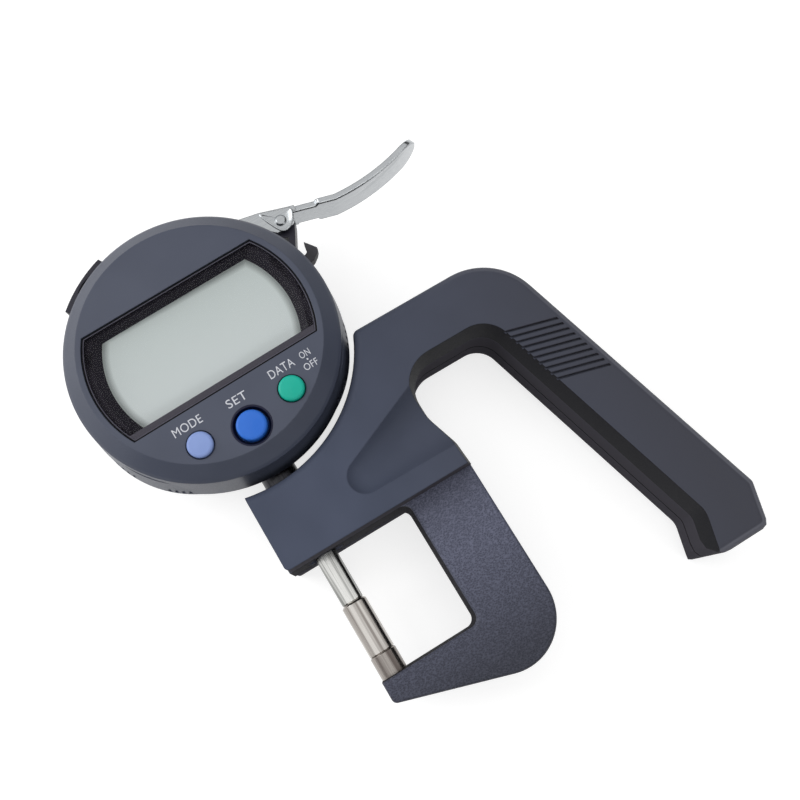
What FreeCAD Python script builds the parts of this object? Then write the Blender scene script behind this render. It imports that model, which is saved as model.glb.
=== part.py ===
import FreeCAD, Part
import Sketcher
import math
import os

# Digital thickness gauge with a pistol grip, in millimetres.
# +X points from the spindle to the handle, +Y runs up the spindle to the head,
# +Z is the normal of the display. The gauge lies on its back on z = 0, and the
# origin is the middle of the head's flat back cover.

doc = FreeCAD.newDocument("thickness_gauge")
sheet = doc.addObject("Spreadsheet::Sheet", "Dims")

DRIVING = {
    # spindle line and measuring travel
    "axis_height": 11.0, "travel": 12.0, "running_gap": 0.05, "seat_gap": 0.15,
    "spindle_dia": 4.8, "spindle_shoulder": -59.4, "contact_dia": 5.6, "contact_length": 11.8,
    "anvil_dia": 5.8, "anvil_shank_dia": 4.0, "anvil_shank_length": 3.0,
    # cast C-frame
    "frame_thick": 13.0, "throat_depth": 19.8, "frame_outer": 35.2, "block_left": -8.0,
    "block_bottom": -48.3, "block_top": -28.0, "throat_height": 27.9, "jaw_nose": -3.0,
    "jaw_nose_height": 4.6, "jaw_slope": 17.7, "frame_round": 11.3, "throat_round": 2.0,
    "frame_edge": 0.8, "recess_gap": 2.15, "recess_shift": 1.2, "mouth_gap": 0.25,
    # pistol grip, two shells that meet on the spindle plane
    "grip_front": 23.5, "grip_top": -12.4, "crown_x": 62.7, "crown_round": 14.0,
    "handle_lean": 15.2, "handle_width": 12.9, "kink_y": -81.0, "heel_lean": 15.5,
    "handle_bottom": -90.0, "ceiling_y": -25.6, "crotch_x": 32.6, "crotch_low": -35.5,
    "crotch_step_x": 34.9, "crotch_step_y": -43.0, "crotch_round": 6.5, "crown_inner_round": 5.5,
    "toe_round": 4.4, "heel_round": 1.4, "shell_wall": 2.4, "rib_thick": 1.2, "boss_dia": 6.0, "front_edge": 1.9, "seam_edge": 0.22,
    "finger_bevel": 1.3, "finger_bevel_high": 5.6, "rear_bevel": 1.8, "rear_bevel_high": 5.5,
    "tongue_end": 48.0,
    # grooves across the handle and the thumb scoop
    "groove_pitch": 1.6, "groove_wide": 0.6, "groove_deep": 0.7, "groove_start": 13.8,
    "groove_slant": 30.6, "scoop_x": 15.0, "scoop_y": -39.9, "scoop_angle": 11.2,
    "scoop_tip_radius": 4.5, "scoop_tip_rise": 2.5, "scoop_long": 24.0,
    "scoop_mouth_radius": 10.6, "scoop_mouth_rise": 6.1,
    # screws that hold the grip shells
    "screw_dia": 2.4, "screw_head_dia": 4.4, "screw_head": 1.6, "screw_sink": 0.8,
    "screw_end": 20.5, "block_screw_x": 13.0, "block_screw_y": -40.5, "tongue_screw_x": 42.0,
    "tongue_screw_y": -19.0, "handle_screw_high": 40.0, "handle_screw_low": 66.0,
    # fixed body of the indicator
    "case_radius": 24.5, "case_wall": 2.2, "case_top": 15.8, "case_floor": 1.3,
    "cover_thick": 1.4, "stem_dia": 8.0, "stem_bore": 6.4, "stem_end": -46.5,
    "collar_wall": 0.7, "collar_out": 1.2, "bush_length": 8.0,
    "top_collar_wall": 0.6, "top_collar_out": 0.6, "top_bush_dia": 6.6, "top_bush_low": 20.3,
    "top_bush_length": 4.9, "friction_radius": 19.0, "friction_wire": 1.1,
    "spigot_radius": 12.0, "spigot_bore": 9.5, "spigot_high": 2.1,
    # display unit
    "dial_turn": 1.8, "dial_radius": 28.4, "dial_flare": 0.9, "dial_wall": 1.4, "dial_gap": 0.3,
    "dial_front": 28.5, "bevel_wide": 3.4, "bevel_drop": 2.7, "face_thick": 2.0,
    "rib_pad": 0.4, "rib_pad_tall": 6.5, "pad_shift": 5.5,
    "base_thick": 1.5, "window_high": 13.4, "window_low": -11.0, "window_rim": 1.2,
    "lens_sink": 0.3, "lens_thick": 1.0, "mask_thick": 1.6, "glass_thick": 1.6,
    "lcd_side": 3.5, "lcd_margin": 0.6, "lcd_high": 11.3, "lcd_low": -9.0, "board_thick": 1.2, "board_low": 20.0,
    # keys
    "key_side_x": 10.5, "key_side_y": -18.4, "key_mid_y": -20.5, "key_radius": 2.65,
    "key_mid_radius": 3.1, "key_hole_gap": 0.25, "key_dish_radius": 4.15, "key_travel": 0.6,
    "key_proud": 0.9, "key_flange": 0.7,
    # battery drawer and connector cap, set on the dial's rim
    "drawer_angle": 119.7, "drawer_half": 6.5, "drawer_low": 17.9, "drawer_tall": 6.0,
    "drawer_proud": 1.6, "battery_radius": 5.8, "battery_thick": 5.2, "battery_in": 5.0,
    "cap_angle": 15.7, "cap_half": 3.4, "cap_tall": 4.4, "cap_reach": 3.9,
    # lifting lever
    "pivot_x": 28.4, "pivot_y": 20.0, "pin_dia": 2.4, "pin_head_dia": 2.9, "ear_inside": 3.1,
    "ear_thick": 1.2, "blade_half": 4.3, "blade_thick": 1.0, "blade_tip": 64.3,
    "blade_curve": 47.5, "blade_bend_x": 41.5, "blade_low_x": 45.0, "blade_low_y": 18.7,
    "blade_root_half": 3.3, "blade_step": 37.0, "prong_deep": 2.4,
    "lift_gap": 0.15, "lift_collar": 28.6, "collar_radius": 4.6, "collar_thick": 1.8,
    # guidance and reading of the spindle
    "guide_low": -10.0, "guide_tall": 8.0, "guide_half": 4.5, "rail_in": 8.5, "rail_out": 12.5,
    "spring_radius": 2.9, "spring_wire": 0.5, "spring_turns": 8.0,
}


class Size:
    """A number in millimetres or degrees that keeps its spreadsheet formula."""

    def __init__(self, value, formula):
        self.value = value
        self.formula = formula

    def __add__(self, other):
        other = sized(other)
        return Size(self.value + other.value, "(%s + %s)" % (self.formula, other.formula))

    def __sub__(self, other):
        other = sized(other)
        return Size(self.value - other.value, "(%s - %s)" % (self.formula, other.formula))

    def __mul__(self, other):
        other = sized(other)
        return Size(self.value * other.value, "(%s * %s)" % (self.formula, other.formula))

    def __truediv__(self, other):
        other = sized(other)
        return Size(self.value / other.value, "(%s / %s)" % (self.formula, other.formula))

    def __neg__(self):
        return Size(-self.value, "(0 - %s)" % self.formula)

    def __radd__(self, other):
        return sized(other) + self

    def __rsub__(self, other):
        return sized(other) - self

    def __rmul__(self, other):
        return sized(other) * self


def sized(number):
    if isinstance(number, Size):
        return number
    return Size(float(number), "%.9g" % number if number >= 0 else "(0 - %.9g)" % -number)


def sine(angle):
    return Size(math.sin(math.radians(angle.value)), "sin(%s)" % angle.formula)


def cosine(angle):
    return Size(math.cos(math.radians(angle.value)), "cos(%s)" % angle.formula)


def root(number):
    return Size(math.sqrt(number.value), "sqrt(%s)" % number.formula)


def fill_sheet():
    """Writes the driving dimensions to the sheet and hands back one Size for each."""
    sizes = {}
    for row, (alias, value) in enumerate(DRIVING.items(), 1):
        sheet.set("A%d" % row, alias)
        sheet.set("B%d" % row, str(value))
        sheet.setAlias("B%d" % row, alias)
        sizes[alias] = Size(value, "Dims.%s" % alias)
    doc.recompute()
    return sizes


class Dims:
    """Gives each driving dimension as an attribute, as d.travel."""

    def __init__(self, sizes):
        self.__dict__.update(sizes)


d = Dims(fill_sheet())


# ---------------------------------------------------------------- drawing helpers

def new_body(label):
    body = doc.addObject("PartDesign::Body", label)
    body.Label = label
    return body


def bind(target, prop, size):
    target.setExpression(prop, sized(size).formula)


def new_sketch(body, plane="XY_Plane", at=(0, 0, 0), turn=0, about=(0, 0, 1)):
    """A sketch on an origin plane of its body, moved and turned in the plane's own axes."""
    sketch = body.newObject("Sketcher::SketchObject", body.Label + "_sketch")
    support = [f for f in body.Origin.OriginFeatures if f.Role == plane][0]
    sketch.AttachmentSupport = (support, [""])
    sketch.MapMode = "FlatFace"
    place = [sized(value) for value in at]
    spin = sized(turn)
    sketch.AttachmentOffset = FreeCAD.Placement(
        FreeCAD.Vector(*[value.value for value in place]),
        FreeCAD.Rotation(FreeCAD.Vector(*about), spin.value))
    for axis, value in zip("xyz", place):
        bind(sketch, "AttachmentOffset.Base.%s" % axis, value)
    if spin.value:
        bind(sketch, "AttachmentOffset.Rotation.Angle", spin)
    return sketch


def pin_point(sketch, geo, end, x, y):
    """Fixes one point of a sketch at x, y, both bound to the sheet."""
    for kind, size in (("DistanceX", sized(x)), ("DistanceY", sized(y))):
        index = sketch.addConstraint(Sketcher.Constraint(kind, -1, 1, geo, end, size.value))
        sketch.setExpression("Constraints[%d]" % index, size.formula)


def set_radius(sketch, geo, size):
    index = sketch.addConstraint(Sketcher.Constraint("Radius", geo, sized(size).value))
    sketch.setExpression("Constraints[%d]" % index, sized(size).formula)


def vector(point):
    return FreeCAD.Vector(sized(point[0]).value, sized(point[1]).value, 0)


def polygon(sketch, points):
    """A closed chain of lines through the points."""
    count = len(points)
    ids = [sketch.addGeometry(Part.LineSegment(vector(points[k]), vector(points[(k + 1) % count])), False)
           for k in range(count)]
    for k in range(count):
        sketch.addConstraint(Sketcher.Constraint("Coincident", ids[k], 2, ids[(k + 1) % count], 1))
        pin_point(sketch, ids[k], 1, *points[k])


def rectangle(sketch, x0, y0, x1, y1):
    polygon(sketch, [(x0, y0), (x1, y0), (x1, y1), (x0, y1)])


def circle(sketch, x, y, radius):
    radius = sized(radius)
    geo = sketch.addGeometry(Part.Circle(vector((x, y)), FreeCAD.Vector(0, 0, 1), radius.value), False)
    pin_point(sketch, geo, 3, x, y)
    set_radius(sketch, geo, radius)


def barrel_outline(sketch, radius, high, low):
    """A window with straight top and bottom and sides that are arcs about the dial's centre."""
    radius, high, low = sized(radius), sized(high), sized(low)
    ends = []
    for level in (high, low):
        ends.append(math.sqrt(radius.value ** 2 - level.value ** 2))
    centre = FreeCAD.Vector(0, 0, 0)
    up, down = FreeCAD.Vector(0, 0, 1), math.atan2
    right = Part.ArcOfCircle(Part.Circle(centre, up, radius.value),
                             down(low.value, ends[1]), down(high.value, ends[0]))
    left = Part.ArcOfCircle(Part.Circle(centre, up, radius.value),
                            down(high.value, -ends[0]), down(low.value, -ends[1]) + 2 * math.pi)
    top = Part.LineSegment(vector((ends[0], high)), vector((-ends[0], high)))
    bottom = Part.LineSegment(vector((-ends[1], low)), vector((ends[1], low)))
    ids = [sketch.addGeometry(item, False) for item in (right, top, left, bottom)]
    for arc in (ids[0], ids[2]):
        sketch.addConstraint(Sketcher.Constraint("Coincident", arc, 3, -1, 1))
        set_radius(sketch, arc, radius)
    for one, two in ((0, 1), (1, 2), (2, 3), (3, 0)):
        sketch.addConstraint(Sketcher.Constraint("Coincident", ids[one], 2, ids[two], 1))
    for line, level in ((ids[1], high), (ids[3], low)):
        sketch.addConstraint(Sketcher.Constraint("Horizontal", line))
        index = sketch.addConstraint(Sketcher.Constraint("DistanceY", -1, 1, line, 1, level.value))
        sketch.setExpression("Constraints[%d]" % index, level.formula)


def feature(body, kind, sketch, **settings):
    item = body.newObject("PartDesign::" + kind, body.Label + "_" + kind.lower())
    item.Profile = sketch
    for prop, value in settings.items():
        if isinstance(value, Size):
            bind(item, prop, value)
        else:
            setattr(item, prop, value)
    return item


def pad(body, sketch, length, both=False, reverse=False):
    side = "Symmetric" if both else "One side"
    item = feature(body, "Pad", sketch, Length=sized(length), SideType=side, Reversed=reverse)
    doc.recompute()
    return item


def pocket(body, sketch, length, both=False, reverse=False):
    """Cuts away material, and stops the build if nothing was cut."""
    before = body.Shape.Volume
    side = "Symmetric" if both else "One side"
    item = feature(body, "Pocket", sketch, Length=sized(length), SideType=side, Reversed=reverse)
    doc.recompute()
    if not body.Shape.Volume < before - 1e-6:
        raise ValueError("%s cuts nothing" % item.Name)
    return item


def revolve(body, sketch, axis="V_Axis"):
    item = feature(body, "Revolution", sketch, ReferenceAxis=(sketch, [axis]), Angle=360.0)
    doc.recompute()
    return item


def groove(body, sketch, axis="V_Axis"):
    before = body.Shape.Volume
    item = feature(body, "Groove", sketch, ReferenceAxis=(sketch, [axis]), Angle=360.0)
    doc.recompute()
    if not body.Shape.Volume < before - 1e-6:
        raise ValueError("%s cuts nothing" % item.Name)
    return item


def pattern(body, seed, kind, **settings):
    item = body.newObject("PartDesign::" + kind, body.Label + "_" + kind.lower())
    item.Originals = [seed]
    for prop, value in settings.items():
        if isinstance(value, Size):
            bind(item, prop, value)
        else:
            setattr(item, prop, value)
    body.Tip = item
    doc.recompute()
    return item


def pick_edges(shape, test):
    """Names of the edges whose middle point and box pass the test."""
    names = []
    for number, edge in enumerate(shape.Edges, 1):
        middle = edge.valueAt((edge.FirstParameter + edge.LastParameter) / 2)
        if test(edge, middle):
            names.append("Edge%d" % number)
    return names


def dress(body, kind, test, **settings):
    """Fillets or chamfers the picked edges of the body's last feature."""
    base = body.Tip
    names = pick_edges(base.Shape, test)
    if not names:
        raise ValueError("%s of %s finds no edge" % (kind, body.Label))
    item = body.newObject("PartDesign::" + kind, body.Label + "_" + kind.lower())
    item.Base = (base, names)
    for prop, value in settings.items():
        if isinstance(value, Size):
            bind(item, prop, value)
        else:
            setattr(item, prop, value)
    doc.recompute()
    if not item.Shape.isValid():
        raise ValueError("%s leaves a broken solid" % item.Name)
    return item


def fillet(body, radius, test):
    return dress(body, "Fillet", test, Radius=sized(radius))


def chamfer(body, size, test):
    return dress(body, "Chamfer", test, Size=sized(size))


def upright(edge):
    box = edge.BoundBox
    return box.ZLength > 0.1 and box.XLength < 1e-4 and box.YLength < 1e-4


def near(point, x, y, reach=0.3):
    return abs(point.x - sized(x).value) < reach and abs(point.y - sized(y).value) < reach


def level(edge, height):
    box = edge.BoundBox
    return box.ZLength < 1e-4 and abs(box.ZMin - sized(height).value) < 1e-3


def turned_part(label, profile, at_y=0, x=0):
    """A part turned about the spindle line: profile points are (radius, y)."""
    body = new_body(label)
    sketch = new_sketch(body, "XY_Plane", at=(x, at_y, d.axis_height))
    polygon(sketch, profile)
    revolve(body, sketch)
    return body


def flat_ring(label, outer, inner, low, thick):
    """A washer or disc about the dial's centre."""
    body = new_body(label)
    sketch = new_sketch(body, at=(0, 0, low))
    circle(sketch, 0, 0, outer)
    if inner is not None:
        circle(sketch, 0, 0, inner)
    pad(body, sketch, thick)
    return body


# ---------------------------------------------------------------- places worked out from the sheet

spindle_radius = d.spindle_dia / 2
frame_front = d.axis_height + d.frame_thick / 2
frame_back = d.axis_height - d.frame_thick / 2
jaw_top = d.block_bottom - d.throat_height
anvil_face = d.spindle_shoulder - d.contact_length
jaw_corner_y = jaw_top - d.jaw_nose_height - (d.frame_outer - d.jaw_nose) * sine(d.jaw_slope) / cosine(d.jaw_slope)
lean_sine, lean_cosine = sine(d.handle_lean), cosine(d.handle_lean)
lean_slope = lean_sine / lean_cosine
heel_slope = sine(d.heel_lean) / cosine(d.heel_lean)
handle_across = d.handle_width / lean_cosine
kink_x = d.crown_x + (d.grip_top - d.kink_y) * lean_slope
heel_x = kink_x - (d.kink_y - d.handle_bottom) * heel_slope
inner_x = d.crown_x + (d.grip_top - d.ceiling_y) * lean_slope - handle_across
core_right = d.crotch_x - d.shell_wall
core_ceiling = d.ceiling_y + d.shell_wall
core_top = d.grip_top - d.shell_wall
core_bend_y = d.ceiling_y - d.crotch_round
core_bend_x = d.crotch_x + d.shell_wall
case_inside = d.case_radius - d.case_wall
friction_level = d.case_top + d.dial_gap - d.running_gap - d.friction_wire / 2
spigot_top = d.case_top + d.spigot_high
base_low = d.case_top + d.dial_gap
base_top = base_low + d.base_thick
face_under = d.dial_front - d.face_thick
lens_top = d.dial_front - d.lens_sink
lens_low = lens_top - d.lens_thick
mask_low = lens_low - d.mask_thick
glass_low = mask_low - d.glass_thick
board_top = d.board_low + d.board_thick
screw_radius = d.screw_dia / 2
dial_rim = d.dial_radius + d.dial_flare
dial_inside = d.dial_radius - d.dial_wall
recess_radius = dial_rim + d.rib_pad + d.recess_gap
face_radius = d.dial_radius - d.bevel_wide
window_radius = face_radius - d.window_rim
lcd_radius = window_radius - d.lcd_side
battery_at = d.dial_radius - d.battery_in
cap_out = d.dial_radius + d.cap_reach


def on_handle(across, down):
    """A point of the handle: `across` inwards from its outer side, `down` from the crown."""
    x = d.crown_x - across * lean_cosine + down * lean_sine
    y = d.grip_top - across * lean_sine - down * lean_cosine
    return x, y


handle_screw_a = on_handle(d.handle_width / 2, d.handle_screw_high)
handle_screw_b = on_handle(d.handle_width / 2, d.handle_screw_low)
GRIP_SCREWS = [(d.block_screw_x, d.block_screw_y), (d.tongue_screw_x, d.tongue_screw_y),
               handle_screw_a, handle_screw_b]


# ---------------------------------------------------------------- C-frame and anvil

def make_frame():
    """Cast C-frame: jaw, throat, clamping block and a tongue that reaches into the grip."""
    body = new_body("frame")
    sketch = new_sketch(body, at=(0, 0, d.axis_height))
    polygon(sketch, [
        (d.block_left, d.block_bottom), (d.throat_depth, d.block_bottom),
        (d.throat_depth, jaw_top), (d.jaw_nose, jaw_top),
        (d.jaw_nose, jaw_top - d.jaw_nose_height), (d.frame_outer, jaw_corner_y),
        (d.frame_outer, d.block_bottom), (core_right, d.block_bottom),
        (core_right, core_bend_y), (core_bend_x, core_ceiling),
        (d.tongue_end, core_ceiling), (d.tongue_end, core_top),
        (recess_radius * 0.7, core_top), (d.block_left, d.block_top)])
    pad(body, sketch, d.frame_thick, both=True)
    cut = new_sketch(body, at=(0, 0, d.axis_height))
    circle(cut, -d.recess_shift, 0, recess_radius)
    pocket(body, cut, d.frame_thick + 2, both=True)
    fillet(body, d.frame_round, lambda e, m: upright(e) and near(m, d.frame_outer, jaw_corner_y))
    fillet(body, d.throat_round, lambda e, m: upright(e) and (
        near(m, d.throat_depth, jaw_top) or near(m, d.throat_depth, d.block_bottom)))
    fillet(body, 1.2, lambda e, m: upright(e) and near(m, d.jaw_nose, jaw_top - d.jaw_nose_height))
    leg_top = d.block_bottom.value - 0.01
    fillet(body, d.frame_edge, lambda e, m: (level(e, frame_front) or level(e, frame_back))
           and m.y < leg_top and e.BoundBox.YMax < leg_top + 0.02)
    bore = new_sketch(body, "XZ_Plane", at=(0, 0, -d.block_bottom + 1))
    circle(bore, 0, d.axis_height, d.stem_dia / 2 + 0.02)
    pocket(body, bore, d.block_top - d.block_bottom + 1)
    mouth = new_sketch(body, "XZ_Plane", at=(0, 0, -d.block_bottom + 1))
    circle(mouth, 0, d.axis_height, d.stem_dia / 2 + d.mouth_gap)
    pocket(body, mouth, 1.6)
    seat = new_sketch(body, "XZ_Plane", at=(0, 0, -jaw_top))
    circle(seat, 0, d.axis_height, d.anvil_shank_dia / 2)
    pocket(body, seat, d.anvil_shank_length, reverse=True)
    clamp = new_sketch(body, "YZ_Plane", at=(0, 0, 0))
    circle(clamp, d.block_bottom * 0.82, d.axis_height, 2.0)
    pocket(body, clamp, -d.block_left + 1)
    holes = new_sketch(body, at=(0, 0, d.axis_height))
    for x, y in GRIP_SCREWS[:2]:
        circle(holes, x, y, screw_radius + d.seat_gap)
    pocket(body, holes, d.frame_thick + 2, both=True)
    return body


def make_anvil():
    radius, shank = d.anvil_dia / 2, d.anvil_shank_dia / 2
    low = jaw_top - d.anvil_shank_length + d.seat_gap
    return turned_part("anvil", [
        (0, low), (shank, low), (shank, jaw_top), (radius, jaw_top),
        (radius, anvil_face - 0.25), (radius - 0.25, anvil_face), (0, anvil_face)])


# ---------------------------------------------------------------- grip shells

def heel_corner(size, side, steps):
    """Points that round a lower corner of the handle; side is -1 inside, 1 outside."""
    x, y = (heel_x if side > 0 else heel_x - handle_across), d.handle_bottom
    points = []
    for step in range(steps + 1):
        rise, run = size * (1 - step / steps) ** 2, size * (step / steps) ** 2
        points.append((x + rise * heel_slope - run * side, y + rise))
    return points if side < 0 else points[::-1]


def grip_outline(sketch):
    """Outline of both shells; the round of the head is cut from it afterwards."""
    polygon(sketch, [
        (d.block_left, d.block_bottom), (d.frame_outer, d.block_bottom),
        (d.crotch_step_x, d.crotch_step_y), (d.crotch_x, d.crotch_low),
        (d.crotch_x, d.ceiling_y), (inner_x, d.ceiling_y),
        (kink_x - handle_across, d.kink_y), *heel_corner(d.toe_round, -1, 4),
        *heel_corner(d.heel_round, 1, 2), (kink_x, d.kink_y),
        (d.crown_x, d.grip_top), (recess_radius * 0.7, d.grip_top),
        (d.block_left, d.block_top)])


def nest_outline(sketch):
    """Room for the frame inside a shell, open on the block's left and bottom sides."""
    gap, beyond = d.seat_gap, 3
    polygon(sketch, [
        (d.block_left - beyond, d.block_bottom - beyond), (core_right + gap, d.block_bottom - beyond),
        (core_right + gap, core_bend_y - gap / 2), (core_bend_x + gap / 2, core_ceiling - gap),
        (d.tongue_end + gap, core_ceiling - gap), (d.tongue_end + gap, core_top + gap),
        (recess_radius * 0.6, core_top + gap), (d.block_left - beyond, d.block_top + beyond)])


def round_grip_corners(body):
    """Rounds the upright corners of the outline, the big crown first."""
    corners = [
        (d.crown_round, d.crown_x, d.grip_top), (d.crotch_round, d.crotch_x, d.ceiling_y),
        (d.crown_inner_round, inner_x, d.ceiling_y), (sized(8.0), d.crotch_x, d.crotch_low),
        (sized(6.0), d.crotch_step_x, d.crotch_step_y), (sized(4.0), kink_x - handle_across, d.kink_y),
        (sized(1.5), kink_x, d.kink_y), (sized(1.0), d.block_left, d.block_bottom)]
    for radius, x, y in corners:
        fillet(body, radius, lambda e, m: upright(e) and near(m, x, y))


def handle_middle(y):
    """X of the handle's middle line at height y, above the kink and in the heel."""
    half = handle_across.value / 2
    if y > d.kink_y.value:
        return d.crown_x.value + (d.grip_top.value - y) * lean_slope.value - half
    return kink_x.value - half - (d.kink_y.value - y) * heel_slope.value


def faces_finger(edge, middle):
    """True on the edges round the finger gap, from the block's foot to the heel."""
    return (middle.x > d.crotch_x.value - 0.5 and middle.y < d.ceiling_y.value + 0.2
            and middle.x < handle_middle(middle.y) and edge.BoundBox.YLength + edge.BoundBox.XLength > 0.1
            and middle.y > d.handle_bottom.value + 0.05)


def faces_out(edge, middle):
    """True on the edges down the handle's outer side, round the crown and under the heel."""
    outside = middle.x > handle_middle(middle.y) and middle.x > recess_radius.value
    return outside and middle.x > d.crotch_x.value + 1


def bevel_finger_side(body, height, across, down):
    """Steep bevel all along the finger gap's rim at one height; the rim is one smooth chain of
    edges, so a single seed carries the bevel round it with its long side down the wall."""
    def seed(edge, middle):
        return (level(edge, height) and faces_finger(edge, middle) and edge.Length > 30)

    def bevelled(shape):
        inner = height.value + (down.value if height.value < 1 else -down.value)
        return any(level(e, inner) and e.Length > 30 for e in shape.Edges)

    made = dress(body, "Chamfer", seed, ChamferType=1, Size=across, Size2=down)
    if not bevelled(body.Shape):
        made.FlipDirection = True
        doc.recompute()
    if not (bevelled(body.Shape) and body.Shape.isValid()):
        raise ValueError("the bevel of the finger gap went wrong")


def shell_blank(label, low, high):
    body = new_body(label)
    sketch = new_sketch(body, at=(0, 0, low))
    grip_outline(sketch)
    pad(body, sketch, high - low)
    round_grip_corners(body)
    cut = new_sketch(body, at=(0, 0, low))
    circle(cut, -d.recess_shift, 0, recess_radius)
    pocket(body, cut, high - low, reverse=True)
    horn_x = math.sqrt(recess_radius.value ** 2 - d.grip_top.value ** 2) - d.recess_shift.value
    fillet(body, 1.5, lambda e, m: upright(e) and near(m, horn_x, d.grip_top))
    chamfer(body, d.seam_edge, lambda e, m: level(e, d.axis_height))
    return body


def handle_frame(body, height):
    """A sketch whose V axis runs up the handle and whose U axis crosses it."""
    return new_sketch(body, at=(d.crown_x, d.grip_top, height), turn=d.handle_lean)


def hollow_handle(body, floor, upward):
    """Hollows the handle from the parting plane, then adds ribs and screw bosses."""
    deep = (floor - d.axis_height) if upward else (d.axis_height - floor)
    room = handle_frame(body, d.axis_height)
    rectangle(room, -d.handle_width + d.shell_wall, -d.handle_screw_low - 4, -d.shell_wall, sized(-24.0))
    pocket(body, room, deep, reverse=upward)
    ribs = handle_frame(body, d.axis_height + (deep if upward else -deep))
    first = sized(-30.0)
    rectangle(ribs, -d.handle_width + d.shell_wall - 0.3, first, -d.shell_wall + 0.3, first + d.rib_thick)
    rib = pad(body, ribs, deep * 0.6, reverse=upward)
    pattern(body, rib, "LinearPattern", Direction=(ribs, ["V_Axis"]), Reversed=True,
            Length=sized(33.0), Occurrences=4)
    bosses = new_sketch(body, at=(0, 0, d.axis_height))
    for x, y in GRIP_SCREWS[2:]:
        circle(bosses, x, y, d.boss_dia / 2)
    pad(body, bosses, deep + 0.5, reverse=not upward)


def cut_grooves(body):
    """Ten fine grooves slanted across the handle that run out over its finger edge."""
    sketch = handle_frame(body, d.grip_front)
    slope = sine(d.groove_slant) / cosine(d.groove_slant)
    left, right = -d.handle_width - 1, -d.front_edge
    start = -d.groove_start + slope
    foot = start - (right - left) * slope
    polygon(sketch, [(left, start), (right, foot), (right, foot + d.groove_wide), (left, start + d.groove_wide)])
    first = pocket(body, sketch, d.groove_deep)
    pattern(body, first, "LinearPattern", Direction=(sketch, ["V_Axis"]), Reversed=True,
            Length=d.groove_pitch * 9, Occurrences=10)


def cut_scoop(body):
    """Thumb scoop: a ball at its tip that grows along a cone, like a tapered capsule whose
    axis climbs out of the grip towards the finger gap."""
    climb = math.atan2(d.scoop_mouth_rise.value - d.scoop_tip_rise.value, d.scoop_long.value)
    length = math.hypot(d.scoop_mouth_rise.value - d.scoop_tip_rise.value, d.scoop_long.value)
    small, big = d.scoop_tip_radius.value, d.scoop_mouth_radius.value
    tilt = math.asin((big - small) / length)
    sketch = new_sketch(body, at=(d.scoop_x, d.scoop_y, d.grip_front + d.scoop_tip_rise))
    sketch.AttachmentOffset = FreeCAD.Placement(
        sketch.AttachmentOffset.Base, FreeCAD.Rotation(d.scoop_angle.value - 90, 0, math.degrees(climb)))
    join = FreeCAD.Vector(small * math.cos(tilt), -small * math.sin(tilt), 0)
    reach = length + 1.0
    mouth = FreeCAD.Vector(join.x + (reach - join.y) * math.tan(tilt), reach, 0)
    ball = Part.Circle(FreeCAD.Vector(0, 0, 0), FreeCAD.Vector(0, 0, 1), small)
    sketch.addGeometry(Part.ArcOfCircle(ball, -math.pi / 2, -tilt), False)
    top, pole = FreeCAD.Vector(0, reach, 0), FreeCAD.Vector(0, -small, 0)
    for one, two in ((join, mouth), (mouth, top), (top, pole)):
        sketch.addGeometry(Part.LineSegment(one, two), False)
    for line, following in ((0, 1), (1, 2), (2, 3)):
        sketch.addConstraint(Sketcher.Constraint("Coincident", line, 2, following, 1))
    sketch.addConstraint(Sketcher.Constraint("Coincident", 3, 2, 0, 1))
    groove(body, sketch)


def make_front_grip():
    body = shell_blank("front_grip", d.axis_height, d.grip_front)
    nest = new_sketch(body, at=(0, 0, d.axis_height))
    nest_outline(nest)
    bevel_finger_side(body, d.grip_front, d.finger_bevel, d.finger_bevel_high)
    fillet(body, d.front_edge, lambda e, m: level(e, d.grip_front) and faces_out(e, m))
    pocket(body, nest, frame_front - d.axis_height, reverse=True)
    hollow_handle(body, d.grip_front - d.shell_wall, True)
    holes = new_sketch(body, at=(0, 0, d.axis_height))
    for x, y in GRIP_SCREWS:
        circle(holes, x, y, screw_radius + d.running_gap)
    pocket(body, holes, d.screw_end + 0.3 - d.axis_height, reverse=True)
    cut_grooves(body)
    cut_scoop(body)
    return body


def make_rear_grip():
    body = shell_blank("rear_grip", sized(0), d.axis_height)
    bevel_finger_side(body, sized(0), d.rear_bevel, d.rear_bevel_high)
    fillet(body, d.front_edge, lambda e, m: level(e, 0) and faces_out(e, m))
    nest = new_sketch(body, at=(0, 0, d.axis_height))
    nest_outline(nest)
    pocket(body, nest, d.axis_height - frame_back)
    hollow_handle(body, d.shell_wall, False)
    holes = new_sketch(body, at=(0, 0, d.axis_height))
    for x, y in GRIP_SCREWS:
        circle(holes, x, y, screw_radius + d.seat_gap)
    pocket(body, holes, d.axis_height + 1)
    heads = new_sketch(body, at=(0, 0, 0))
    for x, y in GRIP_SCREWS:
        circle(heads, x, y, d.screw_head_dia / 2 + d.seat_gap)
    pocket(body, heads, d.screw_sink + d.screw_head, reverse=True)
    return body


def make_screw_group(label, places, head_low, head_dia, head_high, shank_dia, shank_top):
    """Pan head screws that enter from below, one solid for each place."""
    solids = []
    for x, y in places:
        at = FreeCAD.Vector(sized(x).value, sized(y).value, head_low.value)
        head = Part.makeCylinder(head_dia.value / 2, head_high.value, at)
        slot = Part.makeBox(head_dia.value * 0.62, head_dia.value * 0.16, head_high.value * 0.4,
                            at - FreeCAD.Vector(head_dia.value * 0.31, head_dia.value * 0.08, 0))
        cross = slot.copy()
        cross.rotate(at, FreeCAD.Vector(0, 0, 1), 90)
        shank = Part.makeCylinder(shank_dia.value / 2, shank_top.value - head_low.value - head_high.value,
                                  at + FreeCAD.Vector(0, 0, head_high.value))
        solids.append(head.fuse(shank).cut(slot.fuse(cross)).removeSplitter())
    group = doc.addObject("Part::Feature", label)
    group.Label = label
    group.Shape = Part.makeCompound(solids)
    return group


# ---------------------------------------------------------------- stem, bushes and spindle

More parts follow.
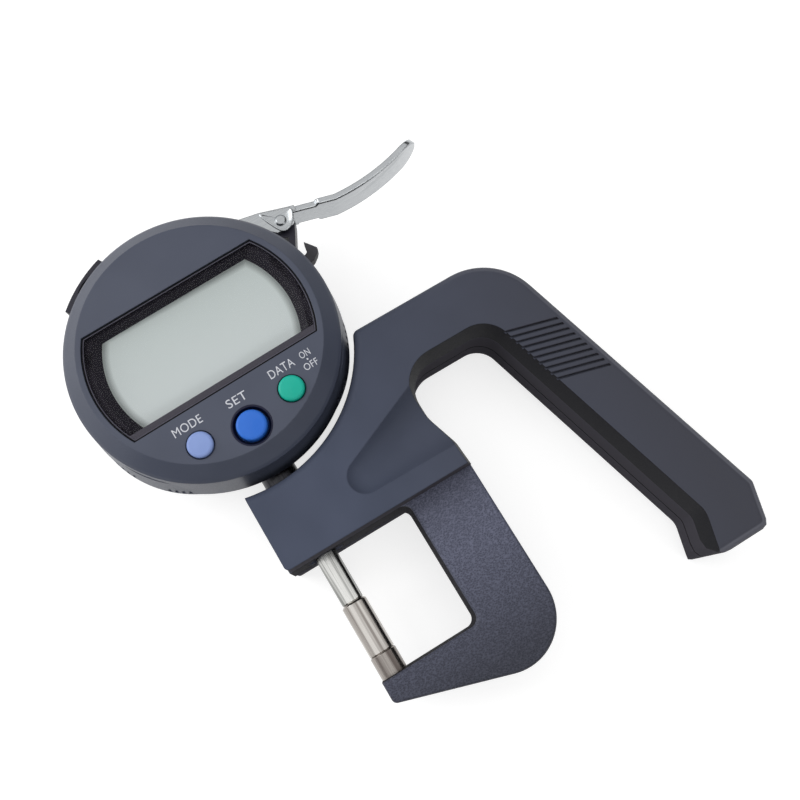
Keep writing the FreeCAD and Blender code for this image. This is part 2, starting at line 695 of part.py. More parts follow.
def make_stem():
    inner, outer = d.stem_bore / 2, d.stem_dia / 2
    top = -case_inside + 0.4
    return turned_part("stem", [
        (inner, d.stem_end), (outer - 0.4, d.stem_end), (outer, d.stem_end + 0.4),
        (outer, top), (inner, top)])


def make_bush(label, low, outer, length):
    bore = spindle_radius + d.running_gap
    return turned_part(label, [(bore, low), (outer, low), (outer, low + length), (bore, low + length)])


def make_set_screw():
    """Short grub screw with a hexagon socket that locks the stem in the block."""
    body = new_body("stem_set_screw")
    sketch = new_sketch(body, "YZ_Plane", at=(0, 0, d.block_left + 0.5))
    circle(sketch, d.block_bottom * 0.82, d.axis_height, 1.95)
    pad(body, sketch, -d.block_left - 0.5 - d.stem_dia / 2 - d.seat_gap)
    socket = new_sketch(body, "YZ_Plane", at=(0, 0, d.block_left + 0.5))
    corners = [(d.block_bottom * 0.82 + 1.1 * math.cos(k * math.pi / 3),
                d.axis_height + 1.1 * math.sin(k * math.pi / 3)) for k in range(6)]
    polygon(socket, corners)
    pocket(body, socket, 1.6, reverse=True)
    return body


def make_spindle():
    radius = spindle_radius
    top = d.lift_collar + d.collar_thick
    return turned_part("spindle", [
        (0, d.spindle_shoulder), (radius - 0.2, d.spindle_shoulder), (radius, d.spindle_shoulder + 0.2),
        (radius, d.lift_collar), (1.5, d.lift_collar), (1.5, top), (0, top)])


def make_contact_point():
    radius = d.contact_dia / 2
    low = anvil_face
    return turned_part("contact_point", [
        (0, low), (radius - 0.2, low), (radius, low + 0.2), (radius, d.spindle_shoulder - 0.5),
        (radius - 0.5, d.spindle_shoulder), (0, d.spindle_shoulder)])


def make_lift_cap():
    """Knob on the spindle's top; the lever's prongs push up on its underside."""
    under = d.lift_collar
    top = under + d.collar_thick
    return turned_part("lift_cap", [
        (1.5, under), (d.collar_radius - 0.3, under), (d.collar_radius, under + 0.3),
        (d.collar_radius, top - 0.5), (d.collar_radius - 0.5, top), (3.2, top), (2.4, top + 1.3),
        (0, top + 1.6), (0, top), (1.5, top)])


def make_guide_block():
    """Clamp on the spindle that carries the guide pin and the reading scale."""
    body = new_body("guide_block")
    sketch = new_sketch(body, at=(0, 0, d.axis_height - 3.6))
    rectangle(sketch, -d.guide_half, d.guide_low, d.guide_half, d.guide_low + d.guide_tall)
    pad(body, sketch, 6.6)
    bore = new_sketch(body, "XZ_Plane", at=(0, 0, -d.guide_low + 1))
    circle(bore, 0, d.axis_height, spindle_radius + 0.02)
    pocket(body, bore, d.guide_tall + 2)
    pin = new_sketch(body, "YZ_Plane", at=(0, 0, 0))
    circle(pin, d.guide_low + d.guide_tall / 2, d.axis_height, 0.8)
    pocket(body, pin, d.guide_half + 1)
    chamfer(body, 0.5, lambda e, m: upright(e) and abs(m.x) > d.guide_half.value - 0.1)
    return body


def make_guide_pin():
    body = new_body("guide_pin")
    sketch = new_sketch(body, "YZ_Plane", at=(0, 0, -d.rail_in - 2.6))
    circle(sketch, d.guide_low + d.guide_tall / 2, d.axis_height, 0.8)
    pad(body, sketch, d.rail_in + 2.6 - spindle_radius - 0.1)
    return body


def make_guide_rail():
    """Fixed rail with a slot that keeps the spindle from turning."""
    body = new_body("guide_rail")
    low, high = d.axis_height - 3.2, d.case_top - d.case_floor
    sketch = new_sketch(body, at=(0, 0, low))
    rectangle(sketch, -d.rail_out, sized(-10.5), -d.rail_in, sized(10.5))
    pad(body, sketch, high - low)
    slot = new_sketch(body, "XZ_Plane", at=(0, 0, 13.0))
    rectangle(slot, -d.rail_in - 3, d.axis_height - 0.8 - d.running_gap,
              -d.rail_in + 1, d.axis_height + 0.8 + d.running_gap)
    pocket(body, slot, sized(26.0))
    return body


def make_encoder_scale():
    body = new_body("encoder_scale")
    sketch = new_sketch(body, at=(0, 0, d.axis_height - 4.4))
    rectangle(sketch, sized(-3.0), d.guide_low - 6, sized(3.0), d.guide_low + 18)
    pad(body, sketch, 0.8)
    return body


def make_sensor_board():
    """Reading head under the scale: a board with its sensor chip, on two pillars."""
    body = new_body("sensor_board")
    top = d.axis_height - 4.4 - 0.9
    sketch = new_sketch(body, at=(0, 0, top))
    rectangle(sketch, sized(-13.2), sized(-9.0), sized(13.2), sized(13.0))
    pad(body, sketch, 1.0, reverse=True)
    chip = new_sketch(body, at=(0, 0, top - 0.5))
    rectangle(chip, sized(-4.0), sized(-4.0), sized(4.0), sized(8.0))
    pad(body, chip, 1.05)
    return body


def make_return_spring():
    """Compression spring round the spindle that gives the measuring force."""
    low = d.guide_low.value + d.guide_tall.value + d.spring_wire.value / 2
    high = d.top_bush_low.value - d.spring_wire.value / 2
    turns = d.spring_turns.value
    radius = d.spring_radius.value
    coil = Part.makeHelix((high - low) / turns, high - low, radius)
    half = d.spring_wire.value / 2
    ring = [FreeCAD.Vector(radius + half * math.cos(k * math.pi / 3), 0, half * math.sin(k * math.pi / 3))
            for k in range(7)]
    wire_section = Part.makePolygon(ring)
    solid = Part.Wire(coil.Edges).makePipeShell([wire_section], True, True)
    spring = doc.addObject("Part::Feature", "return_spring")
    spring.Label = "return_spring"
    spring.Shape = solid
    spring.Placement = FreeCAD.Placement(FreeCAD.Vector(0, low, d.axis_height.value),
                                         FreeCAD.Rotation(FreeCAD.Vector(1, 0, 0), -90))
    return spring


# ---------------------------------------------------------------- fixed body of the indicator

BRACKET_SCREWS = (26.0, 50.0)


def radial_sketch(body, reach, angle):
    """A sketch that faces outwards at the given reach and angle from the dial's centre."""
    at = (reach * math.cos(math.radians(angle)), 0, reach * -math.sin(math.radians(angle)))
    return new_sketch(body, "XZ_Plane", at=at, turn=angle + 90, about=(0, 1, 0))


COVER_SCREWS = [((d.case_radius - 4.1) * math.cos(math.radians(a)), (d.case_radius - 4.1) * math.sin(math.radians(a)))
                for a in (38, 142, 218, 322)]


def make_rear_case():
    """Round cup that holds the spindle, with a hollow spigot for the turning display."""
    body = new_body("rear_case")
    sketch = new_sketch(body, "XZ_Plane")
    under = d.case_top - d.case_floor
    polygon(sketch, [
        (case_inside, d.cover_thick), (d.case_radius, d.cover_thick),
        (d.case_radius, d.case_top - 0.6), (d.case_radius - 0.6, d.case_top),
        (d.spigot_radius, d.case_top), (d.spigot_radius, spigot_top),
        (d.spigot_bore, spigot_top), (d.spigot_bore, under), (case_inside, under)])
    revolve(body, sketch)
    collars = ((1, d.collar_wall, d.collar_out, d.stem_dia / 2),
               (-1, d.top_collar_wall, d.top_collar_out, d.top_bush_dia / 2))
    for sign, wall, stand, hole in collars:
        collar = new_sketch(body, "XZ_Plane", at=(0, 0, (case_inside - 0.4) * sign))
        circle(collar, 0, d.axis_height, hole + wall)
        pad(body, collar, d.case_wall + 0.4 + stand, reverse=sign < 0)
        bore = new_sketch(body, "XZ_Plane", at=(0, 0, (case_inside - 2) * sign))
        circle(bore, 0, d.axis_height, hole + 0.02)
        pocket(body, bore, sized(8.0), reverse=sign > 0)
    for angle in BRACKET_SCREWS:
        tap = radial_sketch(body, case_inside - 1, angle)
        circle(tap, 0, d.axis_height, 0.85)
        pocket(body, tap, d.case_wall + 2, reverse=True)
    posts = new_sketch(body, at=(0, 0, d.cover_thick))
    for x, y in COVER_SCREWS:
        circle(posts, x, y, 2.2)
    pad(body, posts, under - d.cover_thick + 0.2)
    taps = new_sketch(body, at=(0, 0, d.cover_thick))
    for x, y in COVER_SCREWS:
        circle(taps, x, y, 0.85)
    pocket(body, taps, sized(6.0), reverse=True)
    ring = new_sketch(body, "XZ_Plane")
    reach = d.friction_wire / 2 + 0.1
    rectangle(ring, d.friction_radius - reach, friction_level - reach,
              d.friction_radius + reach, d.case_top + 1)
    groove(body, ring)
    return body


def make_back_cover():
    body = flat_ring("back_cover", d.case_radius, None, sized(0), d.cover_thick)
    heads = new_sketch(body, at=(0, 0, 0))
    for x, y in COVER_SCREWS:
        circle(heads, x, y, 1.65)
    pocket(body, heads, 0.9, reverse=True)
    holes = new_sketch(body, at=(0, 0, 0))
    for x, y in COVER_SCREWS:
        circle(holes, x, y, 1.0)
    pocket(body, holes, sized(3.0), reverse=True)
    pillars = new_sketch(body, at=(0, 0, d.cover_thick - 0.2))
    for x in (-11.5, 11.5):
        circle(pillars, x, 2.0, 1.8)
    pad(body, pillars, d.axis_height - 4.4 - 1.9 - d.cover_thick + 0.2)
    chamfer(body, 0.4, lambda e, m: level(e, 0) and abs(math.hypot(m.x, m.y) - d.case_radius.value) < 0.1)
    return body


def make_friction_ring():
    """Square rubber ring between case and display base; it holds the dial where it is turned."""
    half = d.friction_wire / 2
    return flat_ring("friction_ring", d.friction_radius + half, d.friction_radius - half,
                     friction_level - half, d.friction_wire)


ring_screw_at = (d.spigot_radius + d.spigot_bore) / 2
RING_SCREWS = [(ring_screw_at * math.cos(a), ring_screw_at * math.sin(a))
               for a in (math.pi / 2, math.pi * 7 / 6, -math.pi / 6)]


def make_retaining_ring():
    body = flat_ring("retaining_ring", d.spigot_radius + 2, d.spigot_bore, spigot_top, sized(0.8))
    holes = new_sketch(body, at=(0, 0, spigot_top))
    for x, y in RING_SCREWS:
        circle(holes, x, y, 0.6)
    pocket(body, holes, sized(2.0), reverse=True)
    return body


def make_lever_bracket():
    """Curved foot on the case with a pierced arm that carries the lever's pivot."""
    body = new_body("lever_bracket")
    half = d.ear_inside - 0.2
    foot_out = d.case_radius + 2.0
    arm = new_sketch(body, at=(0, 0, d.axis_height))
    polygon(arm, [
        (22.2, 8.6), (25.6, 9.2), (28.4, 13.6), (d.pivot_x + 2.6, d.pivot_y - 1.5),
        (d.pivot_x + 1.6, d.pivot_y + 0.7), (d.pivot_x + 0.7, d.pivot_y + 1.6),
        (d.pivot_x - 0.9, d.pivot_y + 1.6), (d.pivot_x - 2.4, d.pivot_y + 1.0),
        (17.8, 21.6), (14.0, 19.4)])
    pad(body, arm, half * 2, both=True)
    inside = new_sketch(body, at=(0, 0, d.axis_height))
    circle(inside, 0, 0, d.case_radius + 0.03)
    pocket(body, inside, half * 2 + 1, both=True)
    for angle in BRACKET_SCREWS:
        tap = radial_sketch(body, d.case_radius - 1, angle)
        circle(tap, 0, d.axis_height, 0.85)
        pocket(body, tap, sized(2.6), reverse=True)
    hole = new_sketch(body, at=(0, 0, d.axis_height))
    polygon(hole, [(25.6, 12.6), (28.2, 16.2), (24.6, 17.6), (20.6, 18.8), (foot_out * 0.82, 15.2)])
    pocket(body, hole, half * 2 + 1, both=True)
    pin = new_sketch(body, at=(0, 0, d.axis_height))
    circle(pin, d.pivot_x, d.pivot_y, d.pin_dia / 2 + d.running_gap)
    pocket(body, pin, half * 2 + 1, both=True)
    return body


def make_bracket_screws():
    """Two screws that pass outwards through the case into the bracket's foot."""
    solids = []
    for angle in BRACKET_SCREWS:
        out = FreeCAD.Vector(math.cos(math.radians(angle)), math.sin(math.radians(angle)), 0)
        lift = FreeCAD.Vector(0, 0, d.axis_height.value)
        shank = Part.makeCylinder(0.8, d.case_wall.value + 1.3, out * case_inside.value + lift, out)
        head = Part.makeCylinder(1.4, 0.9, out * (case_inside.value - 1.05) + lift, out)
        neck = Part.makeCylinder(0.8, 0.3, out * (case_inside.value - 0.2) + lift, out)
        solids.append(shank.fuse([head, neck]).removeSplitter())
    group = doc.addObject("Part::Feature", "bracket_screws")
    group.Label = "bracket_screws"
    group.Shape = Part.makeCompound(solids)
    return group


# ---------------------------------------------------------------- lifting lever

lift_ratio = d.travel / d.pivot_x * (180 / math.pi)
prong_start = d.lift_collar - d.lift_gap - d.pivot_y


def prong_point(share, drop=0):
    """Involute of the circle about the pivot that touches the spindle line, so that equal
    turns of the lever lift the collar by equal heights."""
    angle = lift_ratio * share
    high = prong_start + d.travel * share - drop
    x = d.pivot_x - d.pivot_x * cosine(angle) - high * sine(angle)
    y = d.pivot_y - d.pivot_x * sine(angle) + high * cosine(angle)
    return x, y


def make_lift_lever():
    """Pressed steel lever: two ears with prongs that straddle the spindle, and a curved blade."""
    body = new_body("lift_lever")
    x, y = d.pivot_x, d.pivot_y
    top_edge = [prong_point(share) for share in (1.0, 0.75, 0.5, 0.25, 0.0)]
    plate = [
        (x + 2.0, y - 2.2), (x + 3.0, y - 0.6), (x + 3.9, y + 1.8), (x - 3.4, y + 4.1),
        (sized(3.0), d.lift_collar - d.lift_gap - 0.05)]
    plate += top_edge[::-1][1:]
    tip_x, tip_y = prong_point(1.0, d.prong_deep * 0.6)
    plate += [(tip_x, tip_y), (sized(0.0), d.lift_collar - d.lift_gap - d.prong_deep),
              (x - 6.0, y + 1.6), (x - 2.0, y - 2.2)]
    for side in (1, -1):
        sketch = new_sketch(body, at=(0, 0, d.axis_height + d.ear_inside * side))
        polygon(sketch, plate)
        pad(body, sketch, d.ear_thick, reverse=side < 0)
    web = new_sketch(body, at=(0, 0, d.axis_height))
    polygon(web, [(x - 3.4, y + 4.1), (x - 3.4, y + 3.1), (x + 3.7, y + 0.8), (x + 3.9, y + 1.8)])
    pad(body, web, d.ear_inside * 2 + 0.4, both=True)
    blade = new_sketch(body, at=(0, 0, d.axis_height))
    draw_blade(blade)
    pad(body, blade, d.blade_half * 2, both=True)
    reach = d.blade_half
    for side in (1, -1):
        corner = new_sketch(body, "XZ_Plane", at=(d.blade_tip - reach, d.axis_height, 0))
        bend = [(reach * math.cos(k * math.pi / 12), reach * (side * math.sin(k * math.pi / 12)))
                for k in range(7)]
        polygon(corner, bend + [(0, (reach + 1) * side), (reach + 1, (reach + 1) * side), (reach + 1, 0)])
        pocket(body, corner, sized(90.0), both=True)
        neck = new_sketch(body, "XZ_Plane", at=(d.blade_step, d.axis_height, 0))
        inner, outer = d.blade_root_half * side, (d.blade_half + 1) * side
        polygon(neck, [(d.pivot_x + 4.3 - d.blade_step, inner), (sized(0), inner), (sized(0.7), outer),
                       (d.pivot_x + 4.3 - d.blade_step, outer)])
        pocket(body, neck, sized(90.0), both=True)
    fillet(body, 1.6, lambda e, m: upright(e) and near(m, x + 2.0, y - 2.2, 0.1))
    pin = new_sketch(body, at=(0, 0, d.axis_height))
    circle(pin, x, y, d.pin_dia / 2)
    pocket(body, pin, sized(12.0), both=True)
    return body


def draw_blade(sketch):
    """Blade seen from the front: a straight root that runs down into a shallow upward arc."""
    half = d.blade_thick / 2
    root_x, root_y = d.pivot_x + 3.0, d.pivot_y + 1.6
    centre_x, centre_y = d.blade_low_x, d.blade_low_y + d.blade_curve
    back = centre_x - d.blade_bend_x
    run = d.blade_bend_x - root_x
    fall = root_y - (centre_y - root(d.blade_curve * d.blade_curve - back * back))
    length = root(run * run + fall * fall)
    side_x, side_y = fall / length, run / length
    points = []
    for offset, radius in ((-half, d.blade_curve + half), (half, d.blade_curve - half)):
        start = (root_x + side_x * offset, root_y + side_y * offset)
        bend = (d.blade_bend_x, centre_y - root(radius * radius - back * back))
        reach = d.blade_tip - centre_x
        end = (d.blade_tip, centre_y - root(radius * radius - reach * reach))
        points.append((start, bend, end, radius))
    (low_start, low_bend, low_end, low_radius), (up_start, up_bend, up_end, up_radius) = points
    centre = vector((centre_x, centre_y))
    ids = []
    for one, two in ((up_start, low_start), (low_start, low_bend)):
        ids.append(sketch.addGeometry(Part.LineSegment(vector(one), vector(two)), False))
    for bend, end, radius in ((low_bend, low_end, low_radius), (up_bend, up_end, up_radius)):
        angles = [math.atan2(vector(p).y - centre.y, vector(p).x - centre.x) for p in (bend, end)]
        ring = Part.Circle(centre, FreeCAD.Vector(0, 0, 1), radius.value)
        ids.append(sketch.addGeometry(Part.ArcOfCircle(ring, *angles), False))
    tip = sketch.addGeometry(Part.LineSegment(vector(low_end), vector(up_end)), False)
    back = sketch.addGeometry(Part.LineSegment(vector(up_bend), vector(up_start)), False)
    close, lower, low_arc, up_arc = ids
    joins = ((close, 2, lower, 1), (lower, 2, low_arc, 1), (low_arc, 2, tip, 1),
             (tip, 2, up_arc, 2), (up_arc, 1, back, 1), (back, 2, close, 1))
    for join in joins:
        sketch.addConstraint(Sketcher.Constraint("Coincident", *join))
    pin_point(sketch, close, 1, *up_start)
    pin_point(sketch, close, 2, *low_start)
    pin_point(sketch, lower, 2, *low_bend)
    pin_point(sketch, back, 1, *up_bend)
    pin_point(sketch, tip, 1, *low_end)
    pin_point(sketch, tip, 2, *up_end)
    set_radius(sketch, low_arc, low_radius)
    set_radius(sketch, up_arc, up_radius)


def make_pivot_pin():
    """Rivet through both ears and the bracket's arm."""
    body = new_body("pivot_pin")
    half = d.ear_inside + d.ear_thick
    sketch = new_sketch(body, "XZ_Plane", at=(d.pivot_x, d.axis_height, -d.pivot_y))
    head, shank = d.pin_head_dia / 2, d.pin_dia / 2
    polygon(sketch, [
        (0, -half - 0.5), (head - 0.5, -half - 0.5), (head, -half), (shank, -half),
        (shank, half), (head, half), (head - 0.5, half + 0.5), (0, half + 0.5)])
    revolve(body, sketch)
    return body


# ---------------------------------------------------------------- display unit

def turn_with_dial(body):
    """Sets a part of the display unit at the dial's turned rest position."""
    body.Placement = FreeCAD.Placement(FreeCAD.Vector(0, 0, 0),
                                       FreeCAD.Rotation(FreeCAD.Vector(0, 0, 1), d.dial_turn.value))
    return body


KEYS = {"mode_key": (-d.key_side_x, d.key_side_y, d.key_radius),
        "set_key": (sized(0), d.key_mid_y, d.key_mid_radius),
        "data_key": (d.key_side_x, d.key_side_y, d.key_radius)}
RIB_PADS = (-36.0, -144.0)
RIB_STEPS = (-16.2, -13.4, -10.6, -7.8, 7.8, 10.6, 13.4, 16.2)


def make_bezel():
    """Round front housing of the display unit with bevel, window, key holes and grip ribs."""
    body = new_body("bezel")
    inside, rim = dial_inside, dial_rim
    sketch = new_sketch(body, "XZ_Plane")
    polygon(sketch, [
        (inside, base_low), (rim - 0.5, base_low), (rim, base_low + 0.5),
        (d.dial_radius, d.dial_front - d.bevel_drop - 0.6),
        (d.dial_radius - 0.5, d.dial_front - d.bevel_drop),
        (face_radius, d.dial_front), (0, d.dial_front), (0, face_under),
        (face_radius - 0.05, face_under), (inside, d.dial_front - d.bevel_drop - 1.4)])
    revolve(body, sketch)
    window = new_sketch(body, at=(0, 0, d.dial_front))
    barrel_outline(window, window_radius, d.window_high, d.window_low)
    pocket(body, window, d.face_thick + 1)
    holes = new_sketch(body, at=(0, 0, d.dial_front))
    for x, y, radius in KEYS.values():
        circle(holes, x, y, radius + d.key_hole_gap)
    pocket(body, holes, d.face_thick + 1)
    dish = new_sketch(body, "XZ_Plane", at=(0, 0, -d.key_mid_y))
    polygon(dish, [(0, d.dial_front - 0.7), (d.key_mid_radius + 0.3, d.dial_front - 0.7),
                   (d.key_dish_radius, d.dial_front), (d.key_dish_radius, d.dial_front + 1),
                   (0, d.dial_front + 1)])
    groove(body, dish)
    drawer = new_sketch(body, at=(0, 0, d.drawer_low - d.seat_gap), turn=d.drawer_angle)
    rectangle(drawer, inside - 2, -d.drawer_half - d.seat_gap, rim + 1, d.drawer_half + d.seat_gap)
    pocket(body, drawer, d.drawer_tall + d.seat_gap * 2, reverse=True)
    plug = new_sketch(body, at=(0, 0, d.drawer_low - d.seat_gap), turn=d.cap_angle)
    rectangle(plug, inside - 1, -d.cap_half - d.seat_gap, rim + 1, d.cap_half + d.seat_gap)
    pocket(body, plug, d.cap_tall + d.seat_gap * 2, reverse=True)
    low, high = base_low + 0.5, base_low + 0.5 + d.rib_pad_tall
    swell = rim + d.rib_pad - d.pad_shift
    lean = d.rib_pad_tall * d.dial_flare / (d.dial_front - d.bevel_drop - 0.6 - low) + d.rib_pad * 0.7
    for middle in RIB_PADS:
        at = (d.pad_shift * math.cos(math.radians(middle)), 0, d.pad_shift * -math.sin(math.radians(middle)))
        crescent = new_sketch(body, "XZ_Plane", at=at, turn=middle, about=(0, 1, 0))
        polygon(crescent, [(swell - 1.9, low), (swell, low), (swell - lean, high), (swell - 1.9, high)])
        feature(body, "Revolution", crescent, ReferenceAxis=(crescent, ["V_Axis"]), Angle=60.0, Midplane=True)
        doc.recompute()
    ribs = new_sketch(body, at=(0, 0, low + 0.5))
    for middle in RIB_PADS:
        for step in RIB_STEPS:
            across = d.pad_shift * math.sin(math.radians(step))
            reach = d.pad_shift * math.cos(math.radians(step)) + root(swell * swell - across * across)
            angle = math.radians(middle + step)
            circle(ribs, reach * math.cos(angle), reach * math.sin(angle), 0.42)
    pocket(body, ribs, d.rib_pad_tall, reverse=True)
    return turn_with_dial(body)


def make_display_base():
    """Rear plate of the display unit that turns on the case's spigot."""
    body = flat_ring("display_base", dial_inside - 0.05, d.spigot_radius + d.running_gap,
                     base_low, d.base_thick)
    rim = new_sketch(body, at=(0, 0, base_top - 0.1))
    for x, y in BASE_SCREWS:
        circle(rim, x, y, 2.0)
    pad(body, rim, d.board_low - base_top + 0.1)
    holes = new_sketch(body, at=(0, 0, base_low))
    for x, y in BASE_SCREWS:
        circle(holes, x, y, 0.95)
    pocket(body, holes, sized(6.0), reverse=True)
    heads = new_sketch(body, at=(0, 0, base_low))
    for x, y in BASE_SCREWS:
        circle(heads, x, y, 1.6)
    pocket(body, heads, sized(0.9), reverse=True)
    return turn_with_dial(body)


BASE_SCREWS = [((dial_inside - 2.5) * math.cos(math.radians(a)), (dial_inside - 2.5) * math.sin(math.radians(a)))
               for a in (60, 175, 245, 320)]


def make_window_lens():
    body = new_body("window_lens")
    sketch = new_sketch(body, at=(0, 0, lens_low))
    gap = 0.1
    barrel_outline(sketch, window_radius - gap, d.window_high - gap, d.window_low + gap)
    pad(body, sketch, d.lens_thick)
    chamfer(body, 0.2, lambda e, m: level(e, lens_top))
    return turn_with_dial(body)


def make_window_mask():
    """Dark frame between lens and display glass, with walls that slope to the glass."""
    body = new_body("window_mask")
    sketch = new_sketch(body, at=(0, 0, mask_low))
    barrel_outline(sketch, window_radius + 1, d.window_high + 1, d.window_low - 1)
    pad(body, sketch, face_under - mask_low)
    lip = new_sketch(body, at=(0, 0, face_under - 0.01))
    barrel_outline(lip, window_radius - 0.1, d.window_high - 0.1, d.window_low + 0.1)
    pad(body, lip, lens_low - face_under + 0.01)
    outer = new_sketch(body, at=(0, 0, lens_low + 0.01))
    barrel_outline(outer, lcd_radius + 1.7, d.lcd_high + 1.0, d.lcd_low - 1.0)
    inner = new_sketch(body, at=(0, 0, mask_low - 0.01))
    barrel_outline(inner, lcd_radius, d.lcd_high, d.lcd_low)
    loft = body.newObject("PartDesign::SubtractiveLoft", "window_mask_opening")
    loft.Profile = outer
    loft.Sections = [inner]
    loft.Ruled = True
    doc.recompute()
    return turn_with_dial(body)


def make_lcd_panel():
    body = new_body("lcd_panel")
    sketch = new_sketch(body, at=(0, 0, glass_low))
    half = lcd_radius + d.lcd_margin
    rectangle(sketch, -half, d.lcd_low - d.lcd_margin, half, d.lcd_high + d.lcd_margin)
    pad(body, sketch, d.glass_thick)
    return turn_with_dial(body)


def make_lcd_holder():
    """Frame that stands on the board and carries the glass."""
    body = new_body("lcd_holder")
    sketch = new_sketch(body, at=(0, 0, board_top))
    left, right = -lcd_radius + 6.5, lcd_radius - 2.7
    rectangle(sketch, left, d.lcd_low - 0.6, right, d.lcd_high - 7.0)
    rectangle(sketch, left + 1.6, d.lcd_low + 1.0, right - 1.6, d.lcd_high - 8.6)
    pad(body, sketch, glass_low - board_top)
    return turn_with_dial(body)


def make_circuit_board():
    body = flat_ring("circuit_board", dial_inside - 1.8, None, d.board_low, d.board_thick)
    room = new_sketch(body, at=(0, 0, d.board_low), turn=d.drawer_angle)
    rectangle(room, dial_inside - 12.0, -d.drawer_half - 0.5, d.dial_radius, d.drawer_half + 0.5)
    pocket(body, room, sized(3.0), both=True)
    plug = new_sketch(body, at=(0, 0, d.board_low), turn=d.cap_angle)
    rectangle(plug, dial_inside - 8.0, -d.cap_half - 0.8, d.dial_radius, d.cap_half + 0.8)
    pocket(body, plug, sized(3.0), both=True)
    return turn_with_dial(body)


def make_key_membrane():
    """Rubber mat with a dome under each key."""
    body = new_body("key_membrane")
    sketch = new_sketch(body, at=(0, 0, board_top))
    rectangle(sketch, -d.key_side_x - 3.0, d.key_mid_y - 2.4, d.key_side_x + 3.0, d.key_side_y + 4.0)
    pad(body, sketch, 0.8)
    domes = new_sketch(body, at=(0, 0, board_top + 0.7))
    for x, y, radius in KEYS.values():
        circle(domes, x, y, radius - 0.7)
    pad(body, domes, key_bottom - d.key_travel - 0.3 - board_top - 0.7)
    return turn_with_dial(body)


key_bottom = face_under - d.key_flange - d.seat_gap - 0.9


def make_key(label):
    """Push key with a crowned top and a flange that keeps it behind the face."""
    x, y, radius = KEYS[label]
    body = new_body(label)
    sketch = new_sketch(body, "XZ_Plane", at=(x, 0, -y))
    flange = face_under - d.seat_gap
    top = d.dial_front + d.key_proud
    polygon(sketch, [
        (0, key_bottom), (radius - 0.6, key_bottom), (radius - 0.6, flange - d.key_flange),
        (radius + 0.9, flange - d.key_flange), (radius + 0.9, flange), (radius, flange),
        (radius, top - 0.55), (radius - 0.15, top - 0.28), (radius - 0.5, top - 0.12), (0, top)])
    revolve(body, sketch)
    return turn_with_dial(body)


def make_connector_socket():
    body = new_body("connector_socket")
    sketch = new_sketch(body, at=(0, 0, d.drawer_low), turn=d.cap_angle)
    rectangle(sketch, dial_inside - 7.0, -d.cap_half, dial_inside - 0.4, d.cap_half)
    pad(body, sketch, d.cap_tall)
    mouth = new_sketch(body, at=(0, 0, d.drawer_low + 1), turn=d.cap_angle)
    rectangle(mouth, dial_inside - 5.0, -d.cap_half + 0.9, dial_inside, d.cap_half - 0.9)
    pocket(body, mouth, d.cap_tall - 2, reverse=True)
    return turn_with_dial(body)


def make_connector_cap():
    """Soft plug of the data socket, with a tab that stands out of the rim to pull it by."""
    body = new_body("connector_cap")
    sketch = new_sketch(body, at=(0, 0, d.drawer_low), turn=d.cap_angle)
    rectangle(sketch, dial_inside, -d.cap_half, d.dial_radius - 0.1, d.cap_half)
    pad(body, sketch, d.cap_tall)
    plug = new_sketch(body, at=(0, 0, d.drawer_low + 1 + d.seat_gap), turn=d.cap_angle)
    rectangle(plug, dial_inside - 4.0, -d.cap_half + 1.1, dial_inside + 0.2, d.cap_half - 1.1)
    pad(body, plug, d.cap_tall - 2 - d.seat_gap * 2)
    fin = new_sketch(body, at=(0, 0, d.drawer_low + 0.8), turn=d.cap_angle)
    out = cap_out
    polygon(fin, [(d.dial_radius - 0.6, -d.cap_half + 0.1), (out - 2.4, -d.cap_half + 0.2), (out - 1.0, -d.cap_half + 0.7),
                  (out - 0.2, -d.cap_half + 1.2), (out, -d.cap_half + 1.7), (out - 0.4, -d.cap_half + 2.9),
                  (out - 1.0, -d.cap_half + 4.6), (out - 2.1, -d.cap_half + 2.5), (d.dial_radius - 0.6, -d.cap_half + 2.2)])
    pad(body, fin, sized(2.6))
    return turn_with_dial(body)


def make_battery_drawer():
    """Tray that slides out of the rim, with a curved front that stands a little proud."""
    body = new_body("battery_drawer")
    high = d.battery_thick + 0.4
    sketch = new_sketch(body, at=(0, 0, d.drawer_low), turn=d.drawer_angle)
    rectangle(sketch, dial_inside - 10.0, -d.drawer_half, d.dial_radius + 2, d.drawer_half)
    pad(body, sketch, d.drawer_tall)
    outside = new_sketch(body, at=(0, 0, d.drawer_low))
    circle(outside, 0, 0, d.dial_radius + 12)
    circle(outside, 0, 0, d.dial_radius + d.drawer_proud)
    pocket(body, outside, sized(20.0), both=True)
    well = new_sketch(body, at=(0, 0, d.drawer_low + 0.4), turn=d.drawer_angle)
    circle(well, battery_at, 0, d.battery_radius + d.seat_gap)
    pocket(body, well, high, reverse=True)
    return turn_with_dial(body)


def make_battery():
    body = new_body("battery")
    sketch = new_sketch(body, at=(0, 0, d.drawer_low + 0.4), turn=d.drawer_angle)
    circle(sketch, battery_at, 0, d.battery_radius)
    pad(body, sketch, d.battery_thick - 0.5)
    top = new_sketch(body, at=(0, 0, d.drawer_low + 0.3 + d.battery_thick - 0.5), turn=d.drawer_angle)
    circle(top, battery_at, 0, d.battery_radius - 1.1)
    pad(body, top, 0.5)
    return turn_with_dial(body)


# ---------------------------------------------------------------- build, check and write

